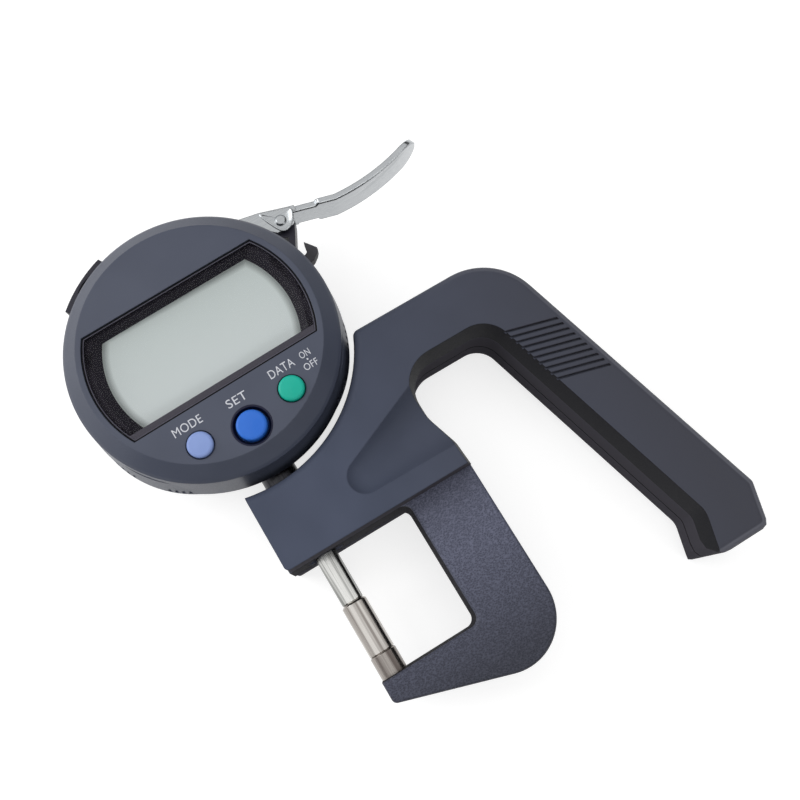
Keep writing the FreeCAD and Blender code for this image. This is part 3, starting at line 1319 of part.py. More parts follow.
parts = [
    make_frame(), make_anvil(), make_front_grip(), make_rear_grip(),
    make_screw_group("grip_screws", GRIP_SCREWS, d.screw_sink, d.screw_head_dia, d.screw_head,
                     d.screw_dia, d.screw_end),
    make_stem(),
    make_bush("lower_bush", d.stem_end + 0.3, d.stem_bore / 2, d.bush_length),
    make_bush("upper_bush", d.top_bush_low, d.top_bush_dia / 2, d.top_bush_length),
    make_set_screw(),
    make_rear_case(), make_back_cover(),
    make_screw_group("cover_screws", COVER_SCREWS, sized(0.15), sized(3.1), sized(0.75), sized(1.6), sized(6.5)),
    make_friction_ring(), make_retaining_ring(),
    make_lever_bracket(), make_bracket_screws(),
    make_guide_rail(), make_sensor_board(), make_return_spring(),
    make_spindle(), make_contact_point(), make_lift_cap(),
    make_guide_block(), make_guide_pin(), make_encoder_scale(),
    make_lift_lever(), make_pivot_pin(),
    make_bezel(), make_display_base(), make_window_lens(), make_window_mask(),
    make_lcd_panel(), make_lcd_holder(), make_circuit_board(), make_key_membrane(),
    make_key("mode_key"), make_key("set_key"), make_key("data_key"),
    make_connector_socket(), make_connector_cap(), make_battery_drawer(), make_battery(),
]

doc.recompute()
for item in doc.Objects:
    if "Invalid" in item.State or "Error" in item.State:
        raise ValueError("%s failed to rebuild" % item.Name)
for part in parts:
    if part.Shape.isNull() or not part.Shape.isValid():
        raise ValueError("%s has no valid shape" % part.Label)

os.makedirs("parts", exist_ok=True)
for part in parts:
    part.Shape.exportStep("parts/%s.step" % part.Label)
    print("%-18s %3d solid(s) %10.1f mm3" % (part.Label, len(part.Shape.Solids), part.Shape.Volume))
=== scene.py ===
import bpy
import numpy as np
from mathutils import Matrix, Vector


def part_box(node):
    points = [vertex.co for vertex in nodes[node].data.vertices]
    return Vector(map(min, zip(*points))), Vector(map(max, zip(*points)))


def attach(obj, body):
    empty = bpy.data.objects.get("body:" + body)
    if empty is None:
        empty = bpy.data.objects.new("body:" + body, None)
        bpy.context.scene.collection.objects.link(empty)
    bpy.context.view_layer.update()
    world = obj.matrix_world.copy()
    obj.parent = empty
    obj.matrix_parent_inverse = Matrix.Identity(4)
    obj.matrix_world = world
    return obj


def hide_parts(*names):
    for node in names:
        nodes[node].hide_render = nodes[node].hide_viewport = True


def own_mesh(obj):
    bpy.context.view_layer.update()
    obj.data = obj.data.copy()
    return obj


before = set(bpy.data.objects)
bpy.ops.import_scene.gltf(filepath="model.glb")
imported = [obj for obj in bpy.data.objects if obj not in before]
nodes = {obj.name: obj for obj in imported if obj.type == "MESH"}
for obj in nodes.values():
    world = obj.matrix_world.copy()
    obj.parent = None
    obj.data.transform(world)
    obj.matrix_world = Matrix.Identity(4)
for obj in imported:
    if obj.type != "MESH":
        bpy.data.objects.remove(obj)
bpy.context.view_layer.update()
print("stage: frame loaded with", len(nodes), "parts")


# sRGB hex to linear, channel by channel
def hexColour(text, alpha=1.0):
    channels = [int(text[k:k + 2], 16) / 255 for k in (1, 3, 5)]
    return [c / 12.92 if c <= 0.04045 else ((c + 0.055) / 1.055) ** 2.4 for c in channels] + [alpha]


# a pattern's scale for a feature of that many millimetres, as objects are in metres
def perMm(size):
    return 1000.0 / size


# one node with its settings and its inputs; an input is a value or another node's output
def addNode(tree, kind, settings=None, **inputs):
    node = tree.nodes.new(kind)
    for name, value in (settings or {}).items():
        setattr(node, name, value)
    for name, value in inputs.items():
        key = int(name[1:]) if name[0] == "_" and name[1:].isdigit() else name.replace("_", " ")
        if isinstance(value, bpy.types.NodeSocket):
            tree.links.new(value, node.inputs[key])
        else:
            node.inputs[key].default_value = value
    return node


# an empty material with its Principled shader wired to the output
def startMaterial(name):
    material = bpy.data.materials.new(name)
    material.use_nodes = True
    tree = material.node_tree
    tree.nodes.clear()
    output = addNode(tree, "ShaderNodeOutputMaterial")
    shader = addNode(tree, "ShaderNodeBsdfPrincipled")
    tree.links.new(shader.outputs[0], output.inputs[0])
    where = addNode(tree, "ShaderNodeTexCoord").outputs["Object"]
    return material, tree, shader, where, output


# two colours mixed by a pattern that is first stretched to the given low and high
def mixByPattern(tree, pattern, first, second, low=0.35, high=0.65):
    spread = addNode(tree, "ShaderNodeMapRange", Value=pattern, From_Min=low, From_Max=high).outputs[0]
    return addNode(tree, "ShaderNodeMix", {"data_type": "RGBA"}, _0=spread, _6=first, _7=second).outputs[2]


def feed(tree, value, socket):
    tree.links.new(value, socket)


# fine relief over an edge that is broken by the given radius in millimetres, as no real edge is sharp
def relief(tree, shader, height, depthMm, strength=0.4, edgeMm=0.2):
    edge = addNode(tree, "ShaderNodeBevel", {"samples": 4}, Radius=edgeMm / 1000)
    bump = addNode(tree, "ShaderNodeBump", Height=height, Strength=strength, Distance=depthMm / 1000,
                   Normal=edge.outputs[0])
    feed(tree, bump.outputs[0], shader.inputs["Normal"])


# how far the surface leans: 1 where it faces up, 0 on an upright wall, less than 0 underneath
def slopeOf(tree):
    facing = addNode(tree, "ShaderNodeNewGeometry").outputs["Normal"]
    return addNode(tree, "ShaderNodeSeparateXYZ", Vector=facing).outputs[2]


# two values joined by one maths operation
def joined(tree, operation, first, second):
    return addNode(tree, "ShaderNodeMath", {"operation": operation}, _0=first, _1=second).outputs[0]


# 1 where a value lies between two limits, with soft ends of the given width
def band(tree, value, low, high, soft=0.05):
    rise = addNode(tree, "ShaderNodeMapRange", Value=value, From_Min=low - soft,
                   From_Max=low + soft).outputs[0]
    fall = addNode(tree, "ShaderNodeMapRange", Value=value, From_Min=high - soft, From_Max=high + soft,
                   To_Min=1.0, To_Max=0.0).outputs[0]
    return joined(tree, "MULTIPLY", rise, fall)


# moulded ABS with a spark-eroded skin: dull, with a fine even grain and faint handling marks. `drift` is a
# second colour that comes in along x between two places. The rounded-edge colour is a painted highlight that
# grows from x = 45 to
# 70 mm. The steep-bevel colour is painted shade. The upright-wall colour is a painted reflection of the
# floor, and the skin is made duller there. `seam` is the height of the thin dark line where two shells meet;
# all places in mm
def mouldedAbs(name, colour, shade, grain=0.35, depth=0.03, gloss=0.46, shine=0.28, edge=0.25, shadedBevel=None,
               wall=None, litEdge=None, drift=None, seam=None):
    look = {"cloudMm": 14.0, "litEdgeFrom": 45.0, "litEdgeTo": 70.0, "litEdgeMost": 0.8, "dullWall": 0.95,
            "seamInk": "#060608", "seamHalf": 0.25, "seamSoft": 0.02, "index": 1.53, "strength": 0.35}
    material, tree, shader, where, _ = startMaterial(name)
    fine = addNode(tree, "ShaderNodeTexNoise", Vector=where, Scale=perMm(grain), Detail=3.0, Roughness=0.55)
    cloud = addNode(tree, "ShaderNodeTexNoise", Vector=where, Scale=perMm(look["cloudMm"]), Detail=2.0,
                    Roughness=0.5)
    part = addNode(tree, "ShaderNodeSeparateXYZ", Vector=where).outputs
    skin = mixByPattern(tree, cloud.outputs[0], hexColour(colour), hexColour(shade))
    rough = addNode(tree, "ShaderNodeMapRange", Value=fine.outputs[0], From_Min=0.3, From_Max=0.7,
                    To_Min=gloss - 0.05, To_Max=gloss + 0.08).outputs[0]
    slope = slopeOf(tree)
    if drift:
        skin = mixByPattern(tree, part[0], skin, hexColour(drift[0]), drift[1] / 1000, drift[2] / 1000)
    # rounded edges painted paler, more so along x: a painted highlight
    if litEdge:
        far = addNode(tree, "ShaderNodeMapRange", Value=part[0], From_Min=look["litEdgeFrom"] / 1000,
                      From_Max=look["litEdgeTo"] / 1000, To_Max=look["litEdgeMost"]).outputs[0]
        litEdgeMask = joined(tree, "MULTIPLY", band(tree, slope, 0.5, 0.95, 0.03), far)
        skin = mixByPattern(tree, litEdgeMask, skin, hexColour(litEdge), 0.0, 1.0)
    # steep bevels painted dark as painted shade; upright walls painted a neutral grey as a painted reflection
    # of the floor, and made duller
    if shadedBevel:
        skin = mixByPattern(tree, band(tree, slope, 0.12, 0.42), skin, hexColour(shadedBevel), 0.0, 1.0)
        upright = band(tree, slope, -0.12, 0.08, 0.03)
        skin = mixByPattern(tree, upright, skin, hexColour(wall), 0.0, 1.0)
        rough = addNode(tree, "ShaderNodeMix", _0=upright, _2=rough, _3=look["dullWall"]).outputs[0]
    if seam:
        line = band(tree, part[2], (seam - look["seamHalf"]) / 1000, (seam + look["seamHalf"]) / 1000,
                    look["seamSoft"] / 1000)
        skin = mixByPattern(tree, line, skin, hexColour(look["seamInk"]), 0.0, 1.0)
    feed(tree, skin, shader.inputs["Base Color"])
    feed(tree, rough, shader.inputs["Roughness"])
    relief(tree, shader, fine.outputs[0], depth, look["strength"], edge)
    shader.inputs["IOR"].default_value = look["index"]
    shader.inputs["Specular IOR Level"].default_value = shine
    return material


# crackle enamel on the casting: fine wrinkles whose crests are painted paler as painted glints. It is painted
# darker away from the grip and paler near it, between y = -86 and -62 mm, as a painted falloff of light, with
# painted shade in a dull dark run on the upright walls
def wrinkleEnamel(name):
    look = {"body": "#3b3d4b", "crest": "#65687b", "wrinkleMm": 0.13, "depthMm": 0.05, "thin": "#22232c",
            "shadedCrest": "#3e404b", "wall": "#15141b", "litFrom": -86.0, "litTo": -62.0, "low": 0.55,
            "high": 1.35, "gloss": 0.4, "dullWall": 0.95}
    material, tree, shader, where, _ = startMaterial(name)
    lay = addNode(tree, "ShaderNodeMapping", Vector=where, Scale=(0.7, 1.0, 1.0), Rotation=(0, 0, 0.45))
    warp = addNode(tree, "ShaderNodeTexNoise", Vector=lay.outputs[0], Scale=perMm(look["wrinkleMm"]),
                   Detail=2.0, Roughness=0.6, Distortion=0.6)
    cells = addNode(tree, "ShaderNodeTexVoronoi", {"feature": "SMOOTH_F1"}, Vector=lay.outputs[0],
                    Scale=perMm(look["wrinkleMm"] * 2.2), Smoothness=0.3)
    height = joined(tree, "ADD", cells.outputs["Distance"], warp.outputs[0])
    along = addNode(tree, "ShaderNodeSeparateXYZ", Vector=where).outputs[1]
    # crests are painted paler as painted glints; the second pair of colours is the same enamel painted darker
    # as painted shade where the light falls off
    thick, thin = (mixByPattern(tree, height, hexColour(look[deep]), hexColour(look[crest]), look["low"],
                                look["high"]) for deep, crest in (("body", "crest"), ("thin", "shadedCrest")))
    skin = mixByPattern(tree, along, thin, thick, look["litFrom"] / 1000, look["litTo"] / 1000)
    # upright walls painted dark: painted shade
    upright = band(tree, slopeOf(tree), -0.3, 0.3, 0.1)
    skin = mixByPattern(tree, upright, skin, hexColour(look["wall"]), 0.0, 1.0)
    feed(tree, skin, shader.inputs["Base Color"])
    relief(tree, shader, height, look["depthMm"], 0.8, 0.35)
    rough = addNode(tree, "ShaderNodeMapRange", Value=upright, To_Min=look["gloss"], To_Max=look["dullWall"])
    feed(tree, rough.outputs[0], shader.inputs["Roughness"])
    shader.inputs["IOR"].default_value = 1.5
    shader.inputs["Specular IOR Level"].default_value = 0.2
    return material


# ground steel: fine scratches left by the wheel, and broader bright and dull streaks along the piece, painted
# into the colour as painted reflections
def groundSteel(name, colour, shade, along="Y", roughness=0.28, grit=0.12, paintedStreakMm=1.0, low=0.4, high=0.6):
    material, tree, shader, where, _ = startMaterial(name)
    stretch = {"X": (0.02, 1, 1), "Y": (1, 0.02, 1), "Z": (1, 1, 0.02)}[along]
    lay = addNode(tree, "ShaderNodeMapping", Vector=where, Scale=stretch)
    lines = addNode(tree, "ShaderNodeTexNoise", Vector=lay.outputs[0], Scale=perMm(grit), Detail=2.0,
                    Roughness=0.6)
    paintedStreak = addNode(tree, "ShaderNodeTexNoise", Vector=lay.outputs[0], Scale=perMm(paintedStreakMm), Detail=3.0,
                     Roughness=0.6)
    feed(tree, mixByPattern(tree, paintedStreak.outputs[0], hexColour(colour), hexColour(shade), low, high),
         shader.inputs["Base Color"])
    rough = addNode(tree, "ShaderNodeMapRange", Value=lines.outputs[0], From_Min=0.3, From_Max=0.7,
                    To_Min=roughness - 0.06, To_Max=roughness + 0.1)
    feed(tree, rough.outputs[0], shader.inputs["Roughness"])
    relief(tree, shader, lines.outputs[0], 0.005, 0.15, 0.12)
    shader.inputs["Metallic"].default_value = 1.0
    return material


# satin nickel plate on pressed steel: smooth and bright, with a faint drawn grain
def satinNickel(name):
    look = {"plate": "#b3b6b8", "shade": "#a6a9ad", "grainMm": 0.25, "roughness": 0.2}
    material, tree, shader, where, _ = startMaterial(name)
    lay = addNode(tree, "ShaderNodeMapping", Vector=where, Scale=(0.06, 1, 1))
    grain = addNode(tree, "ShaderNodeTexNoise", Vector=lay.outputs[0], Scale=perMm(look["grainMm"]),
                    Detail=2.0)
    skin = mixByPattern(tree, grain.outputs[0], hexColour(look["plate"]), hexColour(look["shade"]), 0.4, 0.8)
    feed(tree, skin, shader.inputs["Base Color"])
    rough = addNode(tree, "ShaderNodeMapRange", Value=grain.outputs[0], From_Min=0.3, From_Max=0.7,
                    To_Min=look["roughness"] - 0.04, To_Max=look["roughness"] + 0.06)
    feed(tree, rough.outputs[0], shader.inputs["Roughness"])
    relief(tree, shader, grain.outputs[0], 0.005, 0.2, 0.3)
    shader.inputs["Metallic"].default_value = 1.0
    return material


# clear cast acrylic: a thin pane that light passes straight through, with a faint smeared mirror on top
def clearAcrylic(name):
    look = {"smearMm": 6.0, "smooth": 0.16, "smeared": 0.24, "tint": "#15171a", "mirror": 0.08}
    material, tree, shader, where, output = startMaterial(name)
    smear = addNode(tree, "ShaderNodeTexNoise", Vector=where, Scale=perMm(look["smearMm"]), Detail=3.0)
    rough = addNode(tree, "ShaderNodeMapRange", Value=smear.outputs[0], To_Min=look["smooth"],
                    To_Max=look["smeared"])
    feed(tree, rough.outputs[0], shader.inputs["Roughness"])
    shader.inputs["Base Color"].default_value = hexColour(look["tint"])
    shader.inputs["IOR"].default_value = 1.49
    clear = addNode(tree, "ShaderNodeBsdfTransparent")
    blend = addNode(tree, "ShaderNodeMixShader", _0=look["mirror"], _1=clear.outputs[0], _2=shader.outputs[0])
    feed(tree, blend.outputs[0], output.inputs[0])
    return material


# display glass with its polariser and reflector: grey-green, a little darker towards the top, with a margin
# along the side and top painted darker as the painted shadow of the mask
def displayGlass(name, low, high, reach):
    look = {"light": "#dbe3e3", "dark": "#cdd7d5", "maskShadowInk": "#6f7674", "maskShadowMm": 1.3, "maskShadowFull": 1.3}
    material, tree, shader, where, _ = startMaterial(name)
    part = addNode(tree, "ShaderNodeSeparateXYZ", Vector=where).outputs
    glass = mixByPattern(tree, part[1], hexColour(look["light"]), hexColour(look["dark"]), low, high)
    flat = addNode(tree, "ShaderNodeVectorMath", {"operation": "MULTIPLY"}, _0=where, _1=(1, 1, 0)).outputs[0]
    away = addNode(tree, "ShaderNodeVectorMath", {"operation": "LENGTH"}, _0=flat).outputs["Value"]
    # the side and top margin painted darker: the painted shadow of the mask
    shadowReach = look["maskShadowMm"] / 1000
    side = addNode(tree, "ShaderNodeMapRange", Value=away, From_Min=reach - shadowReach, From_Max=reach).outputs[0]
    top = addNode(tree, "ShaderNodeMapRange", Value=part[1], From_Min=high - shadowReach, From_Max=high).outputs[0]
    maskShadow = joined(tree, "MAXIMUM", side, top)
    skin = mixByPattern(tree, maskShadow, glass, hexColour(look["maskShadowInk"]), 0.0, look["maskShadowFull"])
    feed(tree, skin, shader.inputs["Base Color"])
    shader.inputs["Roughness"].default_value = 0.35
    shader.inputs["IOR"].default_value = 1.5
    return material


# soft moulded rubber: dull, with a slightly dusty bloom
def mouldedRubber(name, colour="#1d1c22", shade="#2a292f"):
    material, tree, shader, where, _ = startMaterial(name)
    bloom = addNode(tree, "ShaderNodeTexNoise", Vector=where, Scale=perMm(1.8), Detail=4.0)
    skin = mixByPattern(tree, bloom.outputs[0], hexColour(colour), hexColour(shade))
    feed(tree, skin, shader.inputs["Base Color"])
    relief(tree, shader, bloom.outputs[0], 0.03, 0.2, 0.25)
    shader.inputs["Roughness"].default_value = 0.6
    return material


# solder mask over glass fibre board: glossy, with a faint weave
def solderMask(name):
    material, tree, shader, where, _ = startMaterial(name)
    weave = addNode(tree, "ShaderNodeTexBrick", Vector=where, Scale=perMm(1.2), Color1=hexColour("#1f5a33"),
                    Color2=hexColour("#246238"), Mortar=hexColour("#1a4c2b"))
    feed(tree, weave.outputs[0], shader.inputs["Base Color"])
    shader.inputs["Roughness"].default_value = 0.3
    return material


# sintered bronze: warm, dull and slightly pitted
def sinteredBronze(name):
    material, tree, shader, where, _ = startMaterial(name)
    pits = addNode(tree, "ShaderNodeTexNoise", Vector=where, Scale=perMm(0.3), Detail=4.0)
    skin = mixByPattern(tree, pits.outputs[0], hexColour("#b08d57"), hexColour("#8f7145"))
    feed(tree, skin, shader.inputs["Base Color"])
    relief(tree, shader, pits.outputs[0], 0.02, 0.3, 0.12)
    shader.inputs["Metallic"].default_value = 1.0
    shader.inputs["Roughness"].default_value = 0.42
    return material


lcdMargin = 0.0012
lcdLow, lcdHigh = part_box("lcd_panel")
finishes = {
    # grip: painted shade on steep bevels, a painted reflection on upright walls and a painted highlight on
    # rounded edges
    "gripAbs": mouldedAbs("gripAbs", "#444a5a", "#4a5061", 0.3, 0.03, 0.5, 0.1, 0.4, shadedBevel="#0e0e14",
                          wall="#45434a", litEdge="#65666f", drift=("#404149", 10.0, 75.0), seam=11.0),
    "bezelAbs": mouldedAbs("bezelAbs", "#3e4352", "#434857", 0.25, 0.015, 0.4, 0.35, 0.3),
    "caseAbs": mouldedAbs("caseAbs", "#30333d", "#363943", 0.35, 0.03, 0.5),
    "blackAbs": mouldedAbs("blackAbs", "#1c1b26", "#22212d", 0.3, 0.02, 0.4),
    "maskAbs": mouldedAbs("maskAbs", "#1f1c24", "#26232c", 0.4, 0.002, 0.45, 0.12),
    "whiteAbs": mouldedAbs("whiteAbs", "#d4d4cf", "#dcdcd8", 0.3, 0.02, 0.45),
    "paleBlueAbs": mouldedAbs("paleBlueAbs", "#7e93c8", "#859ace", 0.3, 0.02, 0.42),
    "blueAbs": mouldedAbs("blueAbs", "#2464c4", "#2c6bca", 0.3, 0.02, 0.42),
    "greenAbs": mouldedAbs("greenAbs", "#08a28c", "#0fab95", 0.3, 0.02, 0.42),
    "enamel": wrinkleEnamel("wrinkleEnamel"),
    # on the spindle, tip and anvil the bright and dull streaks are strong painted reflections
    "spindleSteel": groundSteel("spindleSteel", "#dededb", "#858683", "Y", 0.2, 0.1, 0.9, 0.42, 0.6),
    "tipSteel": groundSteel("tipSteel", "#d2cec9", "#928c87", "Y", 0.2, 0.12, 1.1, 0.4, 0.62),
    "anvilSteel": groundSteel("anvilSteel", "#a39d98", "#655d59", "Y", 0.2, 0.12, 1.2, 0.4, 0.62),
    "stemSteel": groundSteel("stemSteel", "#cfcfcd", "#9c9c9a", "Y", 0.22, 0.12),
    # the stem painted dark as painted shade under the bezel
    "paintedShadeSteel": groundSteel("paintedShadeSteel", "#2c2c30", "#4a4a4d", "Y", 0.3, 0.2),
    "screwSteel": groundSteel("screwSteel", "#a9a9aa", "#8b8b8d", "Z", 0.32, 0.2),
    "springSteel": groundSteel("springSteel", "#a4a4a6", "#86868a", "Y", 0.3, 0.15),
    "cellSteel": groundSteel("cellSteel", "#c4c3bd", "#aeada7", "X", 0.3, 0.15),
    "nickel": satinNickel("satinNickel"),
    "bronze": sinteredBronze("sinteredBronze"),
    "acrylic": clearAcrylic("clearAcrylic"),
    "lcd": displayGlass("displayGlass", lcdLow[1] + lcdMargin, lcdHigh[1] - lcdMargin,
                        lcdHigh[0] - lcdMargin),
    "rubber": mouldedRubber("mouldedRubber"),
    "greyRubber": mouldedRubber("greyRubber", "#77787c", "#84858a"),
    "board": solderMask("solderMask"),
    "scaleGlass": mouldedAbs("scaleGlass", "#7d7765", "#86806d", 0.5, 0.01, 0.2),
}
wears = {
    "gripAbs": ["front_grip", "rear_grip"], "bezelAbs": ["bezel"],
    "caseAbs": ["rear_case", "back_cover", "display_base"],
    "blackAbs": ["lever_bracket", "lift_cap", "connector_socket", "battery_drawer"],
    "maskAbs": ["window_mask"], "whiteAbs": ["lcd_holder"], "paleBlueAbs": ["mode_key"],
    "blueAbs": ["set_key"], "greenAbs": ["data_key"], "enamel": ["frame"],
    "spindleSteel": ["spindle", "guide_pin"], "tipSteel": ["contact_point"], "anvilSteel": ["anvil"],
    "stemSteel": ["guide_rail"], "paintedShadeSteel": ["stem"],
    "screwSteel": ["grip_screws", "cover_screws", "stem_set_screw", "retaining_ring", "bracket_screws"],
    "springSteel": ["return_spring"], "cellSteel": ["battery"], "nickel": ["lift_lever", "pivot_pin"],
    "bronze": ["lower_bush", "upper_bush", "guide_block"], "acrylic": ["window_lens"], "lcd": ["lcd_panel"],
    "rubber": ["connector_cap", "friction_ring"], "greyRubber": ["key_membrane"],
    "board": ["circuit_board", "sensor_board"], "scaleGlass": ["encoder_scale"],
}
for finish, names in wears.items():
    for name in names:
        mesh = nodes[name].data
        mesh.materials.clear()
        mesh.materials.append(finishes[finish])
print("stage: finishes on", sum(len(names) for names in wears.values()), "parts")


# ink on the display face: flat letters a hair above the plastic, each word with its middle and size in mm
printed = {
    "turn": 1.8, "level": 0.00003, "thick": 0.00004, "ink": "#d0d2d9", "thinInk": "#c2c4cb", "apart": 1.06,
    "words": [("MODE", -10.77, -13.74, 6.35, 1.82), ("SET", 0.11, -14.4, 4.4, 1.82),
              ("DATA", 10.89, -13.76, 5.65, 1.82), ("ON", 16.41, -13.65, 2.25, 1.45),
              ("OFF", 16.33, -16.24, 3.05, 1.45)],
    "dot": (16.35, -14.95, 0.2), "dotSteps": 24,
}


# screen-printed ink: flat and matt, a little uneven where the mesh laid it down thinner
def screenInk(name, colour, thin):
    material, tree, shader, where, _ = startMaterial(name)
    grain = addNode(tree, "ShaderNodeTexNoise", Vector=where, Scale=perMm(0.3), Detail=2.0)
    skin = mixByPattern(tree, grain.outputs[0], hexColour(colour), hexColour(thin))
    feed(tree, skin, shader.inputs["Base Color"])
    shader.inputs["Roughness"].default_value = 0.5
    shader.inputs["Specular IOR Level"].default_value = 0.15
    return material


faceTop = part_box("bezel")[1][2]
inkFinish = screenInk("screenInk", printed["ink"], printed["thinInk"])
turnMatrix = Matrix.Rotation(np.radians(printed["turn"]), 4, "Z")
for word, x, y, wide, tall in printed["words"]:
    curve = bpy.data.curves.new("word", "FONT")
    curve.body = word
    curve.size = 1.0
    curve.space_character = printed["apart"]
    curve.extrude = 0.01
    holder = bpy.data.objects.new("holder", curve)
    bpy.context.scene.collection.objects.link(holder)
    bpy.context.view_layer.update()
    mesh = bpy.data.meshes.new_from_object(holder)
    bpy.data.objects.remove(holder)
    spots = np.empty(len(mesh.vertices) * 3)
    mesh.vertices.foreach_get("co", spots)
    spots = spots.reshape(-1, 3)
    low, high = spots.min(axis=0), spots.max(axis=0)
    fit = np.array((wide / 1000, tall / 1000, printed["thick"])) / (high - low)
    centre = np.array((x / 1000, y / 1000, faceTop + printed["level"]))
    mesh.vertices.foreach_set("co", ((spots - (low + high) / 2) * fit + centre).ravel())
    mesh.transform(turnMatrix)
    piece = bpy.data.objects.new("ink_" + word.lower(), mesh)
    mesh.materials.clear()
    mesh.materials.append(inkFinish)
    bpy.context.scene.collection.objects.link(piece)
    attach(piece, "display")
print("stage: lettering printed")


# a closed skin through rings of points, rings[k, j]: each quad joins ring k to k + 1 and point j to j + 1.
# A fan to its middle closes each end, or the last ring joins the first. Inward faces are turned round
def ringSkin(name, rings, finish, body, loop=False):
    rings = np.asarray(rings, dtype=float) / 1000
    count, around = rings.shape[:2]
    k, j = np.meshgrid(np.arange(count if loop else count - 1), np.arange(around), indexing="ij")
    k, j = k.ravel(), j.ravel()
    after, beside = (k + 1) % count, (j + 1) % around
    quads = np.column_stack((k * around + j, k * around + beside,
                             after * around + beside, after * around + j))
    spots = rings.reshape(-1, 3)
    faces = quads.tolist()
    if not loop:
        spots = np.vstack((spots, rings[0].mean(axis=0), rings[-1].mean(axis=0)))
        edge = np.arange(around)
        turned = (edge + 1) % around
        last = (count - 1) * around
        faces += np.column_stack((turned, edge, np.full(around, count * around))).tolist()
        faces += np.column_stack((edge + last, turned + last, np.full(around, count * around + 1))).tolist()
    corners = spots[quads]
    cross = np.cross(corners[:, 1] - corners[:, 0], corners[:, 2] - corners[:, 0])
    cross += np.cross(corners[:, 2] - corners[:, 0], corners[:, 3] - corners[:, 0])
    middle = spots.mean(axis=0)
    if (cross * (corners.mean(axis=1) - middle)).sum() < 0:
        faces = [face[::-1] for face in faces]
    mesh = bpy.data.meshes.new(name)
    mesh.from_pydata(spots.tolist(), [], faces)
    mesh.polygons.foreach_set("use_smooth", np.ones(len(faces), dtype=bool))
    mesh.materials.append(finish)
    piece = bpy.data.objects.new(name, mesh)
    bpy.context.scene.collection.objects.link(piece)
    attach(piece, body)
    return piece


# lever blade: a flat strip with rounded edges carried along a line and an arc. Its half width follows x, with
# a step after the root and half a circle at the tip, and a shallow crease runs along its underside
blade = {
    "root": (31.5, 21.57), "bendX": 41.5, "arcCentre": (45.0, 66.2), "arcRadius": 47.5, "tipX": 64.3,
    "level": 11.0, "halfWide": 4.45, "rootHalf": 3.45, "stepX": 37.2, "halfThick": 0.72, "edgeRound": 0.42,
    "stepLong": 0.6, "tipExtra": 0.15, "thinFrom": 1.2,
    "creaseRise": 5.0, "creaseFall": 3.0, "creaseEnd": 1.5,
    "creaseDeep": 0.16, "creaseWide": 0.45, "creaseFrom": (45.0, 0.6), "creaseTo": (60.0, 3.5),
}


def bladeRings(look):
    tipStart = look["tipX"] + look["tipExtra"] - look["halfWide"]
    swing = np.radians(np.linspace(0.0, 89.5, 26))
    x = np.concatenate((np.linspace(look["root"][0], tipStart, 110)[:-1],
                        tipStart + look["halfWide"] * np.sin(swing)))
    half = np.where(x <= tipStart, look["halfWide"],
                    np.sqrt(np.maximum(look["halfWide"] ** 2 - (x - tipStart) ** 2, 0.0)))
    step = np.clip((x - look["stepX"]) / look["stepLong"], 0, 1)
    widen = (look["halfWide"] - look["rootHalf"]) * step * step * (3 - 2 * step)
    half = np.minimum(half, look["rootHalf"] + widen)
    centreX, centreY = look["arcCentre"]
    onArc = centreY - np.sqrt(look["arcRadius"] ** 2 - (x - centreX) ** 2)
    bendY = centreY - np.sqrt(look["arcRadius"] ** 2 - (look["bendX"] - centreX) ** 2)
    fall = (bendY - look["root"][1]) / (look["bendX"] - look["root"][0])
    y = np.where(x < look["bendX"], bendY + (x - look["bendX"]) * fall, onArc)
    lean = np.arctan(np.gradient(y, x))
    quarter = np.radians(np.linspace(0, 90, 6))
    runs = [(-1, np.linspace(1, -1, 31), np.full(31, -1.0), np.zeros(31)),
            (-1, np.full(6, -1.0), -np.cos(quarter), -np.sin(quarter)),
            (1, np.full(6, -1.0), np.sin(quarter), -np.cos(quarter)),
            (1, np.linspace(-1, 1, 9), np.ones(9), np.zeros(9)),
            (1, np.full(6, 1.0), np.cos(quarter), np.sin(quarter)),
            (-1, np.full(6, 1.0), -np.sin(quarter), np.cos(quarter))]
    side = np.concatenate([np.full(len(share), sign) for sign, share, _, _ in runs])
    share, across, up = (np.concatenate([run[k] for run in runs]) for k in (1, 2, 3))
    bend = np.minimum(look["edgeRound"], half * 0.95)[:, None]
    swell = np.clip(half / look["thinFrom"], 0, 1)
    thick = (look["edgeRound"] + (look["halfThick"] - look["edgeRound"]) * swell)[:, None]
    out = side * (thick - bend) + bend * across
    high = share * (half[:, None] - bend) + bend * up
    (fromX, fromZ), (toX, toZ) = look["creaseFrom"], look["creaseTo"]
    path = np.clip((x - fromX) / (toX - fromX), 0, 1)[:, None]
    fade = np.clip((x - fromX) / look["creaseRise"], 0, 1)[:, None]
    fade = fade * np.clip((toX + look["creaseEnd"] - x) / look["creaseFall"], 0, 1)[:, None]
    dent = np.exp(-((high - fromZ - (toZ - fromZ) * path) / look["creaseWide"]) ** 2)
    out = out + np.where((side < 0) & (across == -1.0), look["creaseDeep"] * fade * dent, 0.0)
    return np.stack((x[:, None] - np.sin(lean)[:, None] * out, y[:, None] + np.cos(lean)[:, None] * out,
                     look["level"] + high), axis=2)


ringSkin("lever_blade", bladeRings(blade), finishes["nickel"], "lever")


